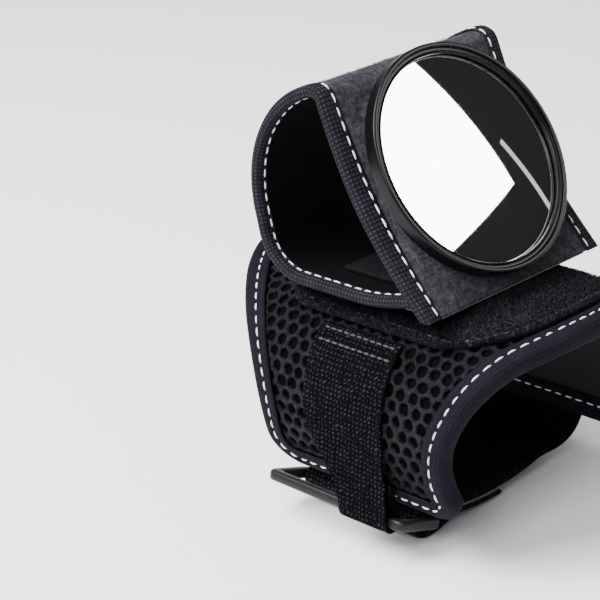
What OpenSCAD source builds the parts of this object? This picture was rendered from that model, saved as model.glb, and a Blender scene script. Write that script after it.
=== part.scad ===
// Wrist mirror band: a padded mesh wrist guard with a closure strap, and a curled felt strap
// on its back that carries a round convex mirror.
// The origin is the middle of the wrist opening. +X runs along the arm to the elbow,
// +Z out of the back of the wrist, and -Y is the thumb side. Sizes are millimetres.

/* [Wrist opening] */
// Width of the opening from the thumb side to the little finger side
opening_width = 58.6; // [54:0.2:66]
// Height of the opening from the palm side to the back of the wrist
opening_height = 43; // [39:0.5:50]

/* [Guard panel] */
// Thickness of the spacer mesh
mesh_thickness = 3; // [2:0.1:4]
// Thickness of the lining against the skin
lining_thickness = 0.7; // [0.5:0.1:1.2]
// Width of the side wings along the arm
wing_width = 52; // [48:1:60]
// How far the back of the guard reaches past the wings towards the hand
hand_flare = 25; // [16:1:30]
// How far the back of the guard reaches past the wings towards the elbow
elbow_flare = 17; // [12:1:22]
// Width of the binding tape on each face
binding_width = 5.2; // [4:0.1:6]
// Thickness of the binding tape
binding_thickness = 0.6; // [0.4:0.05:0.8]

/* [Loop pad] */
// Thickness of the fuzzy pad that the mirror strap grips
pad_thickness = 1.5; // [1:0.1:2]
// Length of the pad from its border nearest the hand to the middle of the guard
pad_hand_reach = 27; // [26:0.5:30]

/* [Closure] */
// Width of the anchor tape on the thumb side wing
tape_width = 23; // [19:0.5:25]
// Thickness of the anchor tape
tape_thickness = 0.9; // [0.7:0.1:1.2]
// Width of the closure strap that crosses the palm side
strap_width = 33.5; // [30:0.5:36]
// Thickness of the closure strap
strap_thickness = 1.4; // [1:0.1:1.6]
// Thickness of the ring across its plane
ring_thickness = 2.4; // [2:0.1:2.6]
// Width of each bar of the ring
ring_bar_width = 2.7; // [2.3:0.1:3]

/* [Mirror strap] */
// Width of the mirror strap
mirror_strap_width = 54.5; // [50:0.5:60]
// Length of the straight front panel
panel_length = 50.5; // [50:0.5:54]
// How far the panel leans back from upright, in degrees
panel_lean = 32; // [28:1:36]
// Thickness of the felt
felt_thickness = 1.4; // [1.2:0.1:2]
// Thickness of the black lining inside the loop
loop_lining_thickness = 0.4; // [0.3:0.1:0.8]

/* [Mirror] */
// Outside diameter of the mirror rim
rim_diameter = 51.6; // [51:0.1:52]
// Diameter of the mirror
mirror_diameter = 47.4; // [44:0.2:47.6]
// Height of the rim above the felt
rim_height = 5; // [5:0.1:7]
// Rise of the convex mirror from its edge to its middle
mirror_rise = 1.8; // [1:0.1:2.2]

/* [Hidden] */

touch = 0.05;            // gap between layers that are sewn together
binding_clear = 0.2;     // gap between a binding and the edge that it wraps
body_gap = 0.2;          // gap between faces that move on each other
path_step = 1.5;         // spacing of the points along curved cloth
arc_step = 6;            // turn between points along a curled strap, in degrees

// ---- wrist section: eight arcs that join smoothly ----
top_turn = 14;           // half the turn of the arcs on the back and the palm side
side_turn = 20;          // half the turn of the arcs on the two sides
corner_turn = 90 - top_turn - side_turn;
half_height = opening_height / 2;
half_width = opening_width / 2;
corner_radius = 0.7256 * half_height;
side_slope = tan(side_turn / 2);
top_radius = (half_width - side_slope * half_height
        - corner_radius * (cos(side_turn) - sin(top_turn)
            + side_slope * (sin(side_turn) - cos(top_turn))))
    / (sin(top_turn) - side_slope * (1 - cos(top_turn)));
corner_y = (top_radius - corner_radius) * sin(top_turn);
corner_z = half_height - top_radius + (top_radius - corner_radius) * cos(top_turn);
side_radius = corner_z / sin(side_turn) + corner_radius;
side_y = corner_y - (side_radius - corner_radius) * cos(side_turn);

guard_thickness = lining_thickness + mesh_thickness;
function arc_length(radius, turn) = radius * turn * PI / 180;
top_arc = arc_length(top_radius + guard_thickness, top_turn);
corner_arc = arc_length(corner_radius + guard_thickness, corner_turn);
side_arc = arc_length(side_radius + guard_thickness, 2 * side_turn);
half_round = 2 * top_arc + 2 * corner_arc + side_arc;

// Direction of the outward normal at a distance around the guard's outer face, in degrees
// from the back of the wrist. The distance is positive on the little finger side.
function turn_at(along) =
    let (d = abs(along), side = along < 0 ? -1 : 1)
    side * (d <= top_arc ? top_turn * d / top_arc
        : d <= top_arc + corner_arc ? top_turn + corner_turn * (d - top_arc) / corner_arc
        : d <= top_arc + corner_arc + side_arc
            ? 90 - side_turn + 2 * side_turn * (d - top_arc - corner_arc) / side_arc
        : d <= top_arc + 2 * corner_arc + side_arc
            ? 90 + side_turn + corner_turn * (d - top_arc - corner_arc - side_arc) / corner_arc
        : 180 - top_turn + top_turn * (d - top_arc - 2 * corner_arc - side_arc) / top_arc);

// Arc centre and skin side radius for an outward normal direction: [y, z, radius]
function arc_at(turn) =
    let (t = abs(turn), side = turn < 0 ? -1 : 1)
    t <= top_turn ? [0, half_height - top_radius, top_radius]
    : t <= top_turn + corner_turn ? [side * corner_y, corner_z, corner_radius]
    : t <= 90 + side_turn ? [side * side_y, 0, side_radius]
    : t <= 180 - top_turn ? [side * corner_y, -corner_z, corner_radius]
    : [0, top_radius - half_height, top_radius];

// Point on the section at a normal direction and a distance off the skin: [y, z]
function section_point(turn, off) =
    let (c = arc_at(turn))
    [c[0] + (c[2] + off) * sin(turn), c[1] + (c[2] + off) * cos(turn)];

// One step of a ribbon around the wrist: [y, z, normal y, normal z, low x, high x]
function wrist_step(along, off, low, high) =
    let (t = turn_at(along), p = section_point(t, off))
    [p[0], p[1], sin(t), cos(t), low, high];

function smooth(t) = let (u = min(1, max(0, t))) u * u * (3 - 2 * u);

// ---- guard outline ----
wing_overrun = 5;         // length of each wing past the side of the wrist
wing_reach = top_arc + corner_arc + side_arc + wing_overrun;
hand_corner = 9;          // corner radius of the wings on the hand side
elbow_corner = 7;         // corner radius of the wings on the elbow side
wing_hand_x = -wing_width / 2 - 0.6;
wing_elbow_x = wing_width / 2 - 0.6;
function flare(along, reach, power) =
    abs(along) >= reach ? 0 : pow(cos(90 * along / reach), power);
function hand_edge(along) = wing_hand_x - hand_flare * flare(along, 0.93 * wing_reach, 3);
wing_tip = 2.5;           // how far the end of each wing spreads towards the elbow
function elbow_edge(along) = wing_elbow_x + elbow_flare * flare(along, 0.84 * wing_reach, 1.7)
    + wing_tip * smooth((abs(along) - wing_reach + 22) / 22);
function corner_cut(along, radius) =
    let (d = abs(along) - (wing_reach - radius))
    d <= 0 ? 0 : radius - sqrt(max(0, radius * radius - d * d));

wing_steps = 2 * ceil(wing_reach / path_step);
function guard_row(i) = -wing_reach * cos(180 * i / wing_steps);
function guard_steps(off) = [for (i = [0:wing_steps])
    let (a = guard_row(i))
    wrist_step(a, off, hand_edge(a) + corner_cut(a, hand_corner),
        elbow_edge(a) - corner_cut(a, elbow_corner))];

// Closed outline of the guard as points [x, along]
corner_points = 8;
edge_points = 56;
function edge_row(i, radius) = (wing_reach - radius) * (2 * i / edge_points - 1);
guard_outline = concat(
    [for (i = [0:edge_points]) let (a = edge_row(i, hand_corner)) [hand_edge(a), a]],
    [for (i = [1:corner_points]) let (t = 90 * i / corner_points)
        [hand_edge(wing_reach) + hand_corner * (1 - cos(t)),
            wing_reach - hand_corner + hand_corner * sin(t)]],
    [for (i = [0:corner_points]) let (t = 90 * i / corner_points)
        [elbow_edge(wing_reach) - elbow_corner * (1 - sin(t)),
            wing_reach - elbow_corner + elbow_corner * cos(t)]],
    [for (i = [1:edge_points]) let (a = edge_row(i, elbow_corner)) [elbow_edge(a), -a]],
    [for (i = [1:corner_points]) let (t = 90 * i / corner_points)
        [elbow_edge(wing_reach) - elbow_corner * (1 - cos(t)),
            -wing_reach + elbow_corner - elbow_corner * sin(t)]],
    [for (i = [0:corner_points - 1]) let (t = 90 * i / corner_points)
        [hand_edge(wing_reach) + hand_corner * (1 - sin(t)),
            -wing_reach + hand_corner - hand_corner * cos(t)]]);

// ---- pad outline ----
pad_share = 0.36;         // part of the wrist's corner that the pad covers
pad_reach = top_arc + pad_share * corner_arc;
pad_margin = 0.5;         // mesh left showing between the pad and the binding
pad_hand_corner = 8;
pad_elbow_corner = 15;
function pad_cut(along, corner) =
    let (d = abs(along) - (pad_reach - corner))
    d <= 0 ? 0 : corner - sqrt(max(0, corner * corner - d * d));
pad_off = guard_thickness + touch;
pad_top = half_height + pad_off + pad_thickness;

// ---- ring, tape and closure strap, in the plane across the arm ----
ring_center_x = -4.3;
ring_inner_length = strap_width + 2.5;
ring_length = ring_inner_length + 2 * ring_bar_width;
ring_span = 10.8;         // from the middle of the near bar to the middle of the far bar
ring_dip = 19;            // slope of the ring down from its near bar, in degrees
ring_corner = 2.2;        // corner radius of the ring seen from above
ring_ease = 0.5;          // step that eases the ring's edges
bar_reach = max(norm([ring_bar_width / 2, ring_thickness / 2 - ring_ease]),
    norm([ring_bar_width / 2 - ring_ease, ring_thickness / 2]));   // corner of a bar from its middle
// The far bar sits just below the palm side of the thumb side corner
fold_clear = 0.9;         // room between the far bar and the strap folded around it
fold_radius = bar_reach + fold_clear;
strap_off = 0.3;          // gap between the closure strap and the skin
fold_turn = -(180 - 31.7);
fold_center = section_point(fold_turn, strap_off + strap_thickness + fold_radius);
near_bar = fold_center - ring_span * [cos(ring_dip), -sin(ring_dip)];
tape_clear = 0.2;
tape_radius = bar_reach + tape_clear;

// Anchor tape: down the wing, straight to the near bar, around it and back up
tape_center_x = -1.2;
tape_bar_center_x = 5.7;
tape_bar_width = 0.6 * tape_width;
tape_off = guard_thickness + touch;
tape_start = -(pad_reach + 1.2);
side_face = side_radius + tape_off;
to_bar = near_bar - [-side_y, 0];
// Direction of the common tangent's normal, as a turn from the back of the wrist
leave_turn = -(90 + atan2(-to_bar[1], -to_bar[0])
    - acos((side_face - tape_radius) / norm(to_bar)));
leave_along = -(top_arc + corner_arc
    + side_arc * (-leave_turn - (90 - side_turn)) / (2 * side_turn));
wing_tape_steps = 12;
wrap_turn = 200;          // turn of the tape around the near bar
wrap_steps = 20;
wrap_normal = [sin(leave_turn), cos(leave_turn)];
tape_return = 8;          // length of the tape's end that runs back up
return_steps = 4;
line_steps = 6;
function tape_x(t, side) =
    let (u = smooth(t))
    (1 - u) * tape_center_x + u * tape_bar_center_x
    + side * ((1 - u) * tape_width + u * tape_bar_width) / 2;
leave_point = section_point(leave_turn, tape_off);
bar_touch = near_bar + tape_radius * wrap_normal;
wrap_end = leave_turn - wrap_turn;
wrap_end_normal = [sin(wrap_end), cos(wrap_end)];
tape_steps = concat(
    [for (i = [0:wing_tape_steps])
        let (a = tape_start + (leave_along - tape_start) * i / wing_tape_steps)
        wrist_step(a, tape_off, tape_x(0, -1), tape_x(0, 1))],
    [for (i = [1:line_steps]) let (t = i / line_steps,
            p = leave_point + t * (bar_touch - leave_point))
        [p[0], p[1], wrap_normal[0], wrap_normal[1], tape_x(t, -1), tape_x(t, 1)]],
    [for (i = [1:wrap_steps]) let (t = leave_turn - wrap_turn * i / wrap_steps)
        [near_bar[0] + tape_radius * sin(t), near_bar[1] + tape_radius * cos(t),
            sin(t), cos(t), tape_x(1, -1), tape_x(1, 1)]],
    [for (i = [1:return_steps])
        let (d = tape_return * i / return_steps,
            p = near_bar + tape_radius * wrap_end_normal
                + d * [-wrap_end_normal[1], wrap_end_normal[0]])
        [p[0], p[1], wrap_end_normal[0], wrap_end_normal[1], tape_x(1, -1), tape_x(1, 1)]]);

// Closure strap: sewn on the little finger side wing, under the wrist, around the far bar
strap_low_x = ring_center_x - strap_width / 2;
strap_high_x = ring_center_x + strap_width / 2;
strap_start = wing_reach - 16;
binding_rise = binding_thickness + binding_clear;
function strap_gap(along) =
    let (on = smooth((along - (wing_reach - binding_width - 4)) / 3),
        down = smooth((along - wing_reach - 2) / 15))
    (guard_thickness + touch + on * binding_rise) * (1 - down) + strap_off * down;
// Distances past the palm side's middle come round on the thumb side
function around(along) = along > half_round ? along - 2 * half_round : along;
fold_along = half_round + top_arc
    + corner_arc * (180 - top_turn + fold_turn) / corner_turn;
strap_steps_count = 46;
fold_steps = 20;
strap_steps = concat(
    [for (i = [0:strap_steps_count])
        let (a = strap_start + (fold_along - strap_start) * i / strap_steps_count)
        wrist_step(around(a), strap_gap(a), strap_low_x, strap_high_x)],
    [for (i = [1:fold_steps])
        let (t = fold_turn + 180 - 180 * i / fold_steps,
            r = fold_radius + strap_thickness)
        [fold_center[0] + r * sin(t), fold_center[1] + r * cos(t),
            -sin(t), -cos(t), strap_low_x, strap_high_x]]);
// Tail: from the end of the fold back under the palm side, settling onto the strap
tail_length = 27;
tail_settle = 13;         // distance over which the tail comes up onto the strap
tail_steps_count = 24;
tail_inset = 0.5;         // the tail is cut a little narrower than the strap
fold_gap = strap_off + strap_thickness + 2 * fold_radius;
lay_gap = strap_off + strap_thickness + body_gap;
function tail_gap(d) = lay_gap + (fold_gap - lay_gap) * (1 - smooth(d / tail_settle));
function tail_steps(from, to, lift) = [for (i = [0:tail_steps_count])
    let (d = from + (to - from) * i / tail_steps_count,
        a = fold_along - d)
    wrist_step(around(a), tail_gap(d) + lift, strap_low_x + tail_inset,
        strap_high_x - tail_inset)];
patch_length = 13;
patch_thickness = 0.7;

// ---- mirror strap profile, in the plane along the arm ----
sole_thickness = 0.6;
sole_bottom = pad_top + body_gap;
strap_bottom = sole_bottom + sole_thickness + 0.1;
foot_x = 20;
foot = [foot_x, strap_bottom];
strap_thick = felt_thickness + loop_lining_thickness;
panel_heading = 90 + panel_lean;
top_bend = 4.6;            // radius of the bend at the top of the panel
back_bend = 26.6;          // radius of the long curve down the back of the loop
low_bend = 11.7;          // radius of the bend onto the bottom
top_heading = 198;
back_heading = 281;
tongue_bend = 50;
tongue_heading = 14;      // slope of the strap's end where it meets the panel's back

// Walk along a chain of pieces, each [length, 0] or [turn in degrees, radius]
function heading_vector(h) = [cos(h), sin(h)];
function left_of(h) = [-sin(h), cos(h)];
function walk(point, heading, pieces, i = 0) =
    i == len(pieces) ? [[point[0], point[1], heading]]
    : let (p = pieces[i])
    p[1] == 0
        ? concat([[point[0], point[1], heading]],
            walk(point + p[0] * heading_vector(heading), heading, pieces, i + 1))
        : let (n = max(1, ceil(p[0] / arc_step)), centre = point + p[1] * left_of(heading))
        concat(
            [for (k = [0:n - 1]) let (h = heading + p[0] * k / n,
                    q = centre - p[1] * left_of(h))
                [q[0], q[1], h]],
            walk(centre - p[1] * left_of(heading + p[0]), heading + p[0], pieces, i + 1));
function path_end(path) = path[len(path) - 1];

// The back of the loop is as long as it takes to bring the strap down to the bottom
foot_overrun = 4;         // extra length below the foot, cut away level with the bottom
panel_top = foot + panel_length * heading_vector(panel_heading);
drop_top = top_bend * (cos(panel_heading) - cos(top_heading));
drop_back = back_bend * (cos(top_heading) - cos(back_heading));
drop_low = low_bend * (cos(back_heading) - 1);
back_line = -(panel_top[1] + drop_top + drop_back + drop_low - strap_bottom)
    / sin(back_heading);
low_point_x = panel_top[0]
    + top_bend * (sin(top_heading) - sin(panel_heading))
    + back_bend * (sin(back_heading) - sin(top_heading))
    + back_line * cos(back_heading)
    - low_bend * sin(back_heading);
// Depth of a point behind the panel's front face
panel_normal = [cos(panel_lean), sin(panel_lean)];
function panel_depth(p) = (foot - p) * panel_normal;
tongue_start_x = -2;
bottom_line = tongue_start_x - low_point_x;
tongue_rise_end = [tongue_start_x, strap_bottom]
    + tongue_bend * [sin(tongue_heading), 1 - cos(tongue_heading)];
tongue_lean = left_of(tongue_heading) * panel_normal;
tongue_line = (panel_depth(tongue_rise_end) - strap_thick - 0.4
        - strap_thick * tongue_lean) / (heading_vector(tongue_heading) * panel_normal);
loop_path = walk(foot - foot_overrun * heading_vector(panel_heading), panel_heading,
    [[foot_overrun + panel_length, 0],
        [top_heading - panel_heading, top_bend],
        [back_heading - top_heading, back_bend],
        [back_line, 0],
        [360 - back_heading, low_bend],
        [bottom_line, 0],
        [tongue_heading, tongue_bend],
        [tongue_line, 0]]);

edging_thickness = 0.4;   // thickness of the binding on the strap's long edges
edging_front = 3.7;       // width of that binding on the felt
edging_back = 2.5;        // width of that binding inside the loop
edging_room = 0.4;        // gap beside that binding's inner edge

// Ribbed hook tab: on the inside of the bottom, then up the back of the panel
tab_width = mirror_strap_width - 16;
tab_thickness = 1.1;
tab_start_x = -12;
tab_bend = 2.2;
tab_climb = 9;
tab_off = strap_thick + touch;
tab_rise_end = [tongue_start_x, strap_bottom + tab_off]
    + (tongue_bend - tab_off) * [sin(tongue_heading), 1 - cos(tongue_heading)];
tab_line = (panel_depth(tab_rise_end) - tab_off - tab_bend - tab_bend * tongue_lean)
    / (heading_vector(tongue_heading) * panel_normal);
tab_path = walk([tab_start_x, strap_bottom + tab_off], 0,
    [[tongue_start_x - tab_start_x, 0],
        [tongue_heading, tongue_bend - tab_off],
        [tab_line, 0],
        [panel_heading - tongue_heading, tab_bend],
        [tab_climb, 0]]);

// Closed band between two depths inside a path
function band(path, from, to) = concat(
    [for (p = path) [p[0], p[1]] + from * left_of(p[2])],
    [for (i = [len(path) - 1:-1:0]) [path[i][0], path[i][1]] + to * left_of(path[i][2])]);

// ---- mirror ----
mirror_shift = 3;         // middle of the mirror above the middle of the panel
mirror_up = panel_length / 2 + mirror_shift;
housing_floor = 1.2;
housing_wall = 0.7;
glass_room = 0.2;         // gap around the mirror
glass_edge = 1.5;         // thickness of the mirror at its edge
adhesive_thickness = 0.6;
adhesive_radius = mirror_diameter / 2 - 3;
glass_bottom = housing_floor + adhesive_thickness;
glass_top = glass_bottom + glass_edge;
housing_step = 1.6;       // height of the step that the rim sits on
foot_gap = 0.25;          // height between the housing's edge and the strap's bindings
foot_lift = edging_thickness + touch + foot_gap;
boss_radius = mirror_strap_width / 2 - edging_front - edging_room;
wall_radius = mirror_diameter / 2 + glass_room + housing_wall;
plate_radius = 17;
plate_thickness = 0.8;
screw_circle = 12;
screw_count = 4;
screw_radius = 1.25;
screw_depth = 0.8;        // how far the screws reach into the housing floor
$fn = 96;

// ---- makers ----
// Ribbon from steps [y, z, normal y, normal z, low x, high x], between two distances
// along the normal
module ribbon(steps, from, to) {
    n = len(steps);
    points = [for (s = steps) each [
        [s[4], s[0] + from * s[2], s[1] + from * s[3]],
        [s[5], s[0] + from * s[2], s[1] + from * s[3]],
        [s[5], s[0] + to * s[2], s[1] + to * s[3]],
        [s[4], s[0] + to * s[2], s[1] + to * s[3]]]];
    sides = [for (i = [0:n - 2]) for (k = [0:3])
        let (a = 4 * i + k, b = 4 * i + (k + 1) % 4) [a, b, b + 4, a + 4]];
    last = 4 * (n - 1);
    polyhedron(points, concat(sides, [[3, 2, 1, 0], [last, last + 1, last + 2, last + 3]]));
}

// Strip of the curled strap between two depths, over a span of the width
module curl(path, from, to, low, high) {
    translate([0, high, 0])
        rotate([90, 0, 0])
            linear_extrude(high - low) polygon(band(path, from, to));
}

// Keeps what is above the level bottom of the mirror strap
module above_bottom() {
    block = 200;
    intersection() {
        union() children();
        translate([-block / 2, -block / 2, strap_bottom]) cube(block);
    }
}

// Places its children with their z axis out of the panel at the mirror's middle
module on_panel() {
    at = foot + mirror_up * heading_vector(panel_heading);
    translate([at[0], 0, at[1]]) rotate([0, 90 - panel_lean, 0]) children();
}

// ---- guard ----
module guard_mesh() {
    color("#26272b") ribbon(guard_steps(lining_thickness), touch, mesh_thickness);
}

module guard_lining() {
    color("#1b1b1e") ribbon(guard_steps(0), 0, lining_thickness);
}

// Folded tape around the whole edge: one U section carried along the outline
module guard_binding() {
    count = len(guard_outline);
    inner = -binding_clear;
    outer = guard_thickness + binding_clear;
    back = binding_clear + binding_thickness;
    middle = binding_width / 2;
    // Each corner of the U is [distance in from the edge, distance off the skin]
    profile = [[-back, -back], [middle, -back], [binding_width, -back],
        [binding_width, inner], [middle, inner], [inner, inner],
        [inner, outer], [middle, outer], [binding_width, outer],
        [binding_width, guard_thickness + back], [middle, guard_thickness + back],
        [-back, guard_thickness + back]];
    corners = len(profile);
    points = [for (i = [0:count - 1])
        let (p = guard_outline[i],
            ahead = guard_outline[(i + 1) % count],
            behind = guard_outline[(i + count - 1) % count],
            run = (ahead - behind) / norm(ahead - behind),
            inward = [run[1], -run[0]])
        for (c = profile)
            let (q = p + c[0] * inward, t = turn_at(q[1]), s = section_point(t, c[1]))
            [q[0], s[0], s[1]]];
    faces = [for (i = [0:count - 1]) for (k = [0:corners - 1])
        let (a = corners * i + k, b = corners * i + (k + 1) % corners,
            next = corners * ((i + 1) % count))
        [a, b, next + (k + 1) % corners, next + k]];
    color("#1d1e2b") polyhedron(points, faces);
}

module loop_pad() {
    rows = 2 * ceil(pad_reach / path_step);
    steps = [for (i = [0:rows])
        let (a = -pad_reach * cos(180 * i / rows))
        wrist_step(a, pad_off, -pad_hand_reach + pad_cut(a, pad_hand_corner),
            elbow_edge(a) - binding_width - pad_margin - pad_cut(a, pad_elbow_corner))];
    color("#141416") ribbon(steps, 0, pad_thickness);
}

// ---- closure ----
module anchor_tape() {
    color("#17181c") ribbon(tape_steps, 0, tape_thickness);
}

module ring() {
    outer_span = ring_span + ring_bar_width;
    window = ring_span - ring_bar_width;
    window_corner = 0.6;
    color("#2b2c30")
        translate([ring_center_x, near_bar[0], near_bar[1]])
            rotate([-ring_dip, 0, 0])
                translate([0, ring_span / 2, 0])
                    difference() {
                        union() {
                            slab(ring_length, outer_span, ring_corner, ring_thickness - 2 * ring_ease);
                            slab(ring_length - 2 * ring_ease, outer_span - 2 * ring_ease,
                                ring_corner - ring_ease, ring_thickness);
                        }
                        slab(ring_inner_length, window, window_corner, 2 * ring_thickness);
                        for (side = [-1, 1]) translate([0, 0, side * ring_thickness / 2])
                            slab(ring_inner_length + 2 * ring_ease, window + 2 * ring_ease,
                                window_corner + ring_ease, 2 * ring_ease);
                    }
}

// Flat block with rounded corners seen from above
module slab(length, width, corner, thickness) {
    linear_extrude(thickness, center = true) {
        square([length - 2 * corner, width], center = true);
        square([length, width - 2 * corner], center = true);
        for (x = [-1, 1], y = [-1, 1])
            translate([x * (length / 2 - corner), y * (width / 2 - corner)]) circle(corner);
    }
}

module closure_strap() {
    color("#17181c") ribbon(strap_steps, 0, strap_thickness);
}

module closure_tail() {
    color("#17181c") ribbon(tail_steps(body_gap, tail_length, patch_thickness), 0, strap_thickness);
}

module closure_hook_patch() {
    color("#0f0f12") ribbon(tail_steps(tail_length - patch_length, tail_length - 0.5, 0),
        0, patch_thickness - touch);
}

// ---- mirror strap ----
module sole_hook_patch() {
    width = mirror_strap_width - 2 * (edging_front + edging_room);
    color("#0f0f12")
        translate([low_point_x + 2, -width / 2, sole_bottom])
            cube([foot_x - low_point_x - 2.4, width, sole_thickness]);
}

module strap_felt() {
    half = mirror_strap_width / 2;
    color("#3b393f")
        difference() {
            above_bottom() curl(loop_path, 0, felt_thickness, -half, half);
            // pocket for the backing plate, open to the inside of the loop
            on_panel() translate([0, 0, -felt_thickness - 1])
                cylinder(h = plate_thickness + 1 + touch, r = plate_radius + 0.2);
            on_panel() screw_places() translate([0, 0, -felt_thickness - 1])
                cylinder(h = felt_thickness + 2, r = screw_radius + 0.1);
        }
}

module strap_lining() {
    half = mirror_strap_width / 2;
    color("#101013")
        above_bottom() curl(loop_path, felt_thickness + touch, strap_thick, -half, half);
}

// Folded tape along one long edge of the strap: a U section carried along the loop
module strap_binding(side) {
    half = mirror_strap_width / 2;
    outside = -touch - edging_thickness;
    inside = strap_thick + touch + edging_thickness;
    // Each corner of the U is [distance from the strap's middle, depth into the strap]
    profile = [[half + edging_thickness, outside], [half - edging_front, outside],
        [half - edging_front, -touch], [half + touch, -touch],
        [half + touch, strap_thick + touch], [half - edging_back, strap_thick + touch],
        [half - edging_back, inside], [half + edging_thickness, inside]];
    corners = len(profile);
    last = corners * (len(loop_path) - 1);
    points = [for (i = [0:len(loop_path) - 1]) for (c = profile)
        let (s = loop_path[i],
            q = [s[0], s[1]] + c[1] * left_of(s[2]),
            level = i == 0 ? (strap_bottom - q[1]) / sin(s[2]) : 0,
            r = q + level * heading_vector(s[2]))
            [r[0], side * c[0], r[1]]];
    faces = [for (i = [0:len(loop_path) - 2]) for (k = [0:corners - 1])
        let (a = corners * i + k, b = corners * i + (k + 1) % corners)
            [a, a + corners, b + corners, b]];
    ends = [[0, 1, 2, 3], [0, 3, 4, 7], [4, 5, 6, 7]];
    all_faces = concat(faces, ends, [for (e = ends) [for (k = [3:-1:0]) last + e[k]]]);
    color("#232230")
        polyhedron(points, side > 0 ? [for (f = all_faces) [for (k = [3:-1:0]) f[k]]] : all_faces);
}

module strap_binding_near() {
    strap_binding(-1);
}

module strap_binding_far() {
    strap_binding(1);
}

module strap_hook_tab() {
    color("#131316") curl(tab_path, 0, tab_thickness, -tab_width / 2, tab_width / 2);
}

// ---- mirror and its fixings ----
module screw_places() {
    for (i = [0:screw_count - 1]) rotate([0, 0, 45 + 360 * i / screw_count])
        translate([screw_circle, 0, 0]) children();
}

module backing_plate() {
    color("#1a1a1c")
        on_panel() difference() {
            translate([0, 0, -felt_thickness]) cylinder(h = plate_thickness, r = plate_radius);
            screw_places() translate([0, 0, -felt_thickness - 1])
                cylinder(h = plate_thickness + 2, r = screw_radius + 0.1);
        }
}

module backing_screws() {
    color("#8b8d90")
        on_panel() screw_places() translate([0, 0, -felt_thickness])
            cylinder(h = felt_thickness + touch + screw_depth, r = screw_radius);
}

module mirror_housing() {
    foot_radius = rim_diameter / 2 - 0.9;
    well = mirror_diameter / 2 + glass_room;
    color("#151517")
        on_panel() difference() {
            rotate_extrude()
                polygon([[0, touch], [boss_radius, touch], [boss_radius, foot_lift],
                    [foot_radius - 0.2, foot_lift], [foot_radius, foot_lift + 0.2],
                    [foot_radius, housing_step], [wall_radius, housing_step],
                    [wall_radius, glass_top + glass_room], [well, glass_top + glass_room],
                    [well, housing_floor], [0, housing_floor]]);
            screw_places() translate([0, 0, -1])
                cylinder(h = 1 + touch + screw_depth + glass_room / 2, r = screw_radius + touch);
        }
}

// Rim snapped over the housing: a rounded outer ring, then steps down to a thin inner lip
module mirror_rim() {
    outer = rim_diameter / 2;
    bore = wall_radius + touch;
    lip = mirror_diameter / 2 - 0.3;
    lip_bottom = glass_top + glass_room + touch;
    lip_top = lip_bottom + 0.6;
    crown = rim_height;
    ease = 0.5;
    color("#0d0d0f")
        on_panel() rotate_extrude()
            polygon(concat(
                [[bore, housing_step + touch], [outer, housing_step + touch]],
                [for (i = [0:5]) let (t = 18 * i)
                    [outer - ease * (1 - cos(t)), crown - ease * (1 - sin(t))]],
                [for (i = [0:5]) let (t = 18 * i)
                    [bore + 0.3 + 0.3 * cos(t + 90), crown - 0.3 * (1 - sin(t + 90))]],
                [[bore, lip_top + 0.4], [bore - 0.4, lip_top - 0.2], [bore - 0.8, lip_top - 0.2],
                    [bore - 0.9, lip_top], [lip + 0.2, lip_top], [lip, lip_top - 0.2],
                    [lip, lip_bottom], [bore, lip_bottom]]));
}

module mirror_glass() {
    radius = mirror_diameter / 2;
    ball = (radius * radius + mirror_rise * mirror_rise) / (2 * mirror_rise);
    rings = 16;
    color("#d8dadd")
        on_panel() rotate_extrude()
            polygon(concat([[0, glass_bottom], [radius, glass_bottom]],
                [for (i = [rings:-1:0]) let (r = radius * i / rings)
                    [r, glass_top - 0.05 + mirror_rise - ball + sqrt(ball * ball - r * r)]]));
}

module mirror_adhesive() {
    color("#c9c9c4")
        on_panel() translate([0, 0, housing_floor + 0.02])
            cylinder(h = adhesive_thickness - 0.04, r = adhesive_radius);
}

guard_mesh();
guard_lining();
guard_binding();
loop_pad();
anchor_tape();
ring();
closure_strap();
closure_tail();
closure_hook_patch();
sole_hook_patch();
strap_felt();
strap_lining();
strap_binding_near();
strap_binding_far();
strap_hook_tab();
backing_plate();
backing_screws();
mirror_housing();
mirror_rim();
mirror_glass();
mirror_adhesive();
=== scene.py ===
"""Looks of a wrist mirror band: mesh guard, closure, curled felt strap and convex mirror.

Everything is in the CAD frame: the origin is the middle of the wrist opening, +X runs along the
arm to the elbow, +Z out of the back of the wrist, and -Y is the thumb side. Lengths in this
script are millimetres until a mesh is made, and MM turns them into metres.

Cloth pieces are built flat, as (across, along, height), and a Track or the guard's own surface
then lays them where they belong. The flat place stays on each point as the attribute "cloth",
so a weave follows its cloth.
"""
import math

import bmesh
import bpy
import numpy as np
from mathutils import Matrix, Vector, noise


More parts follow.
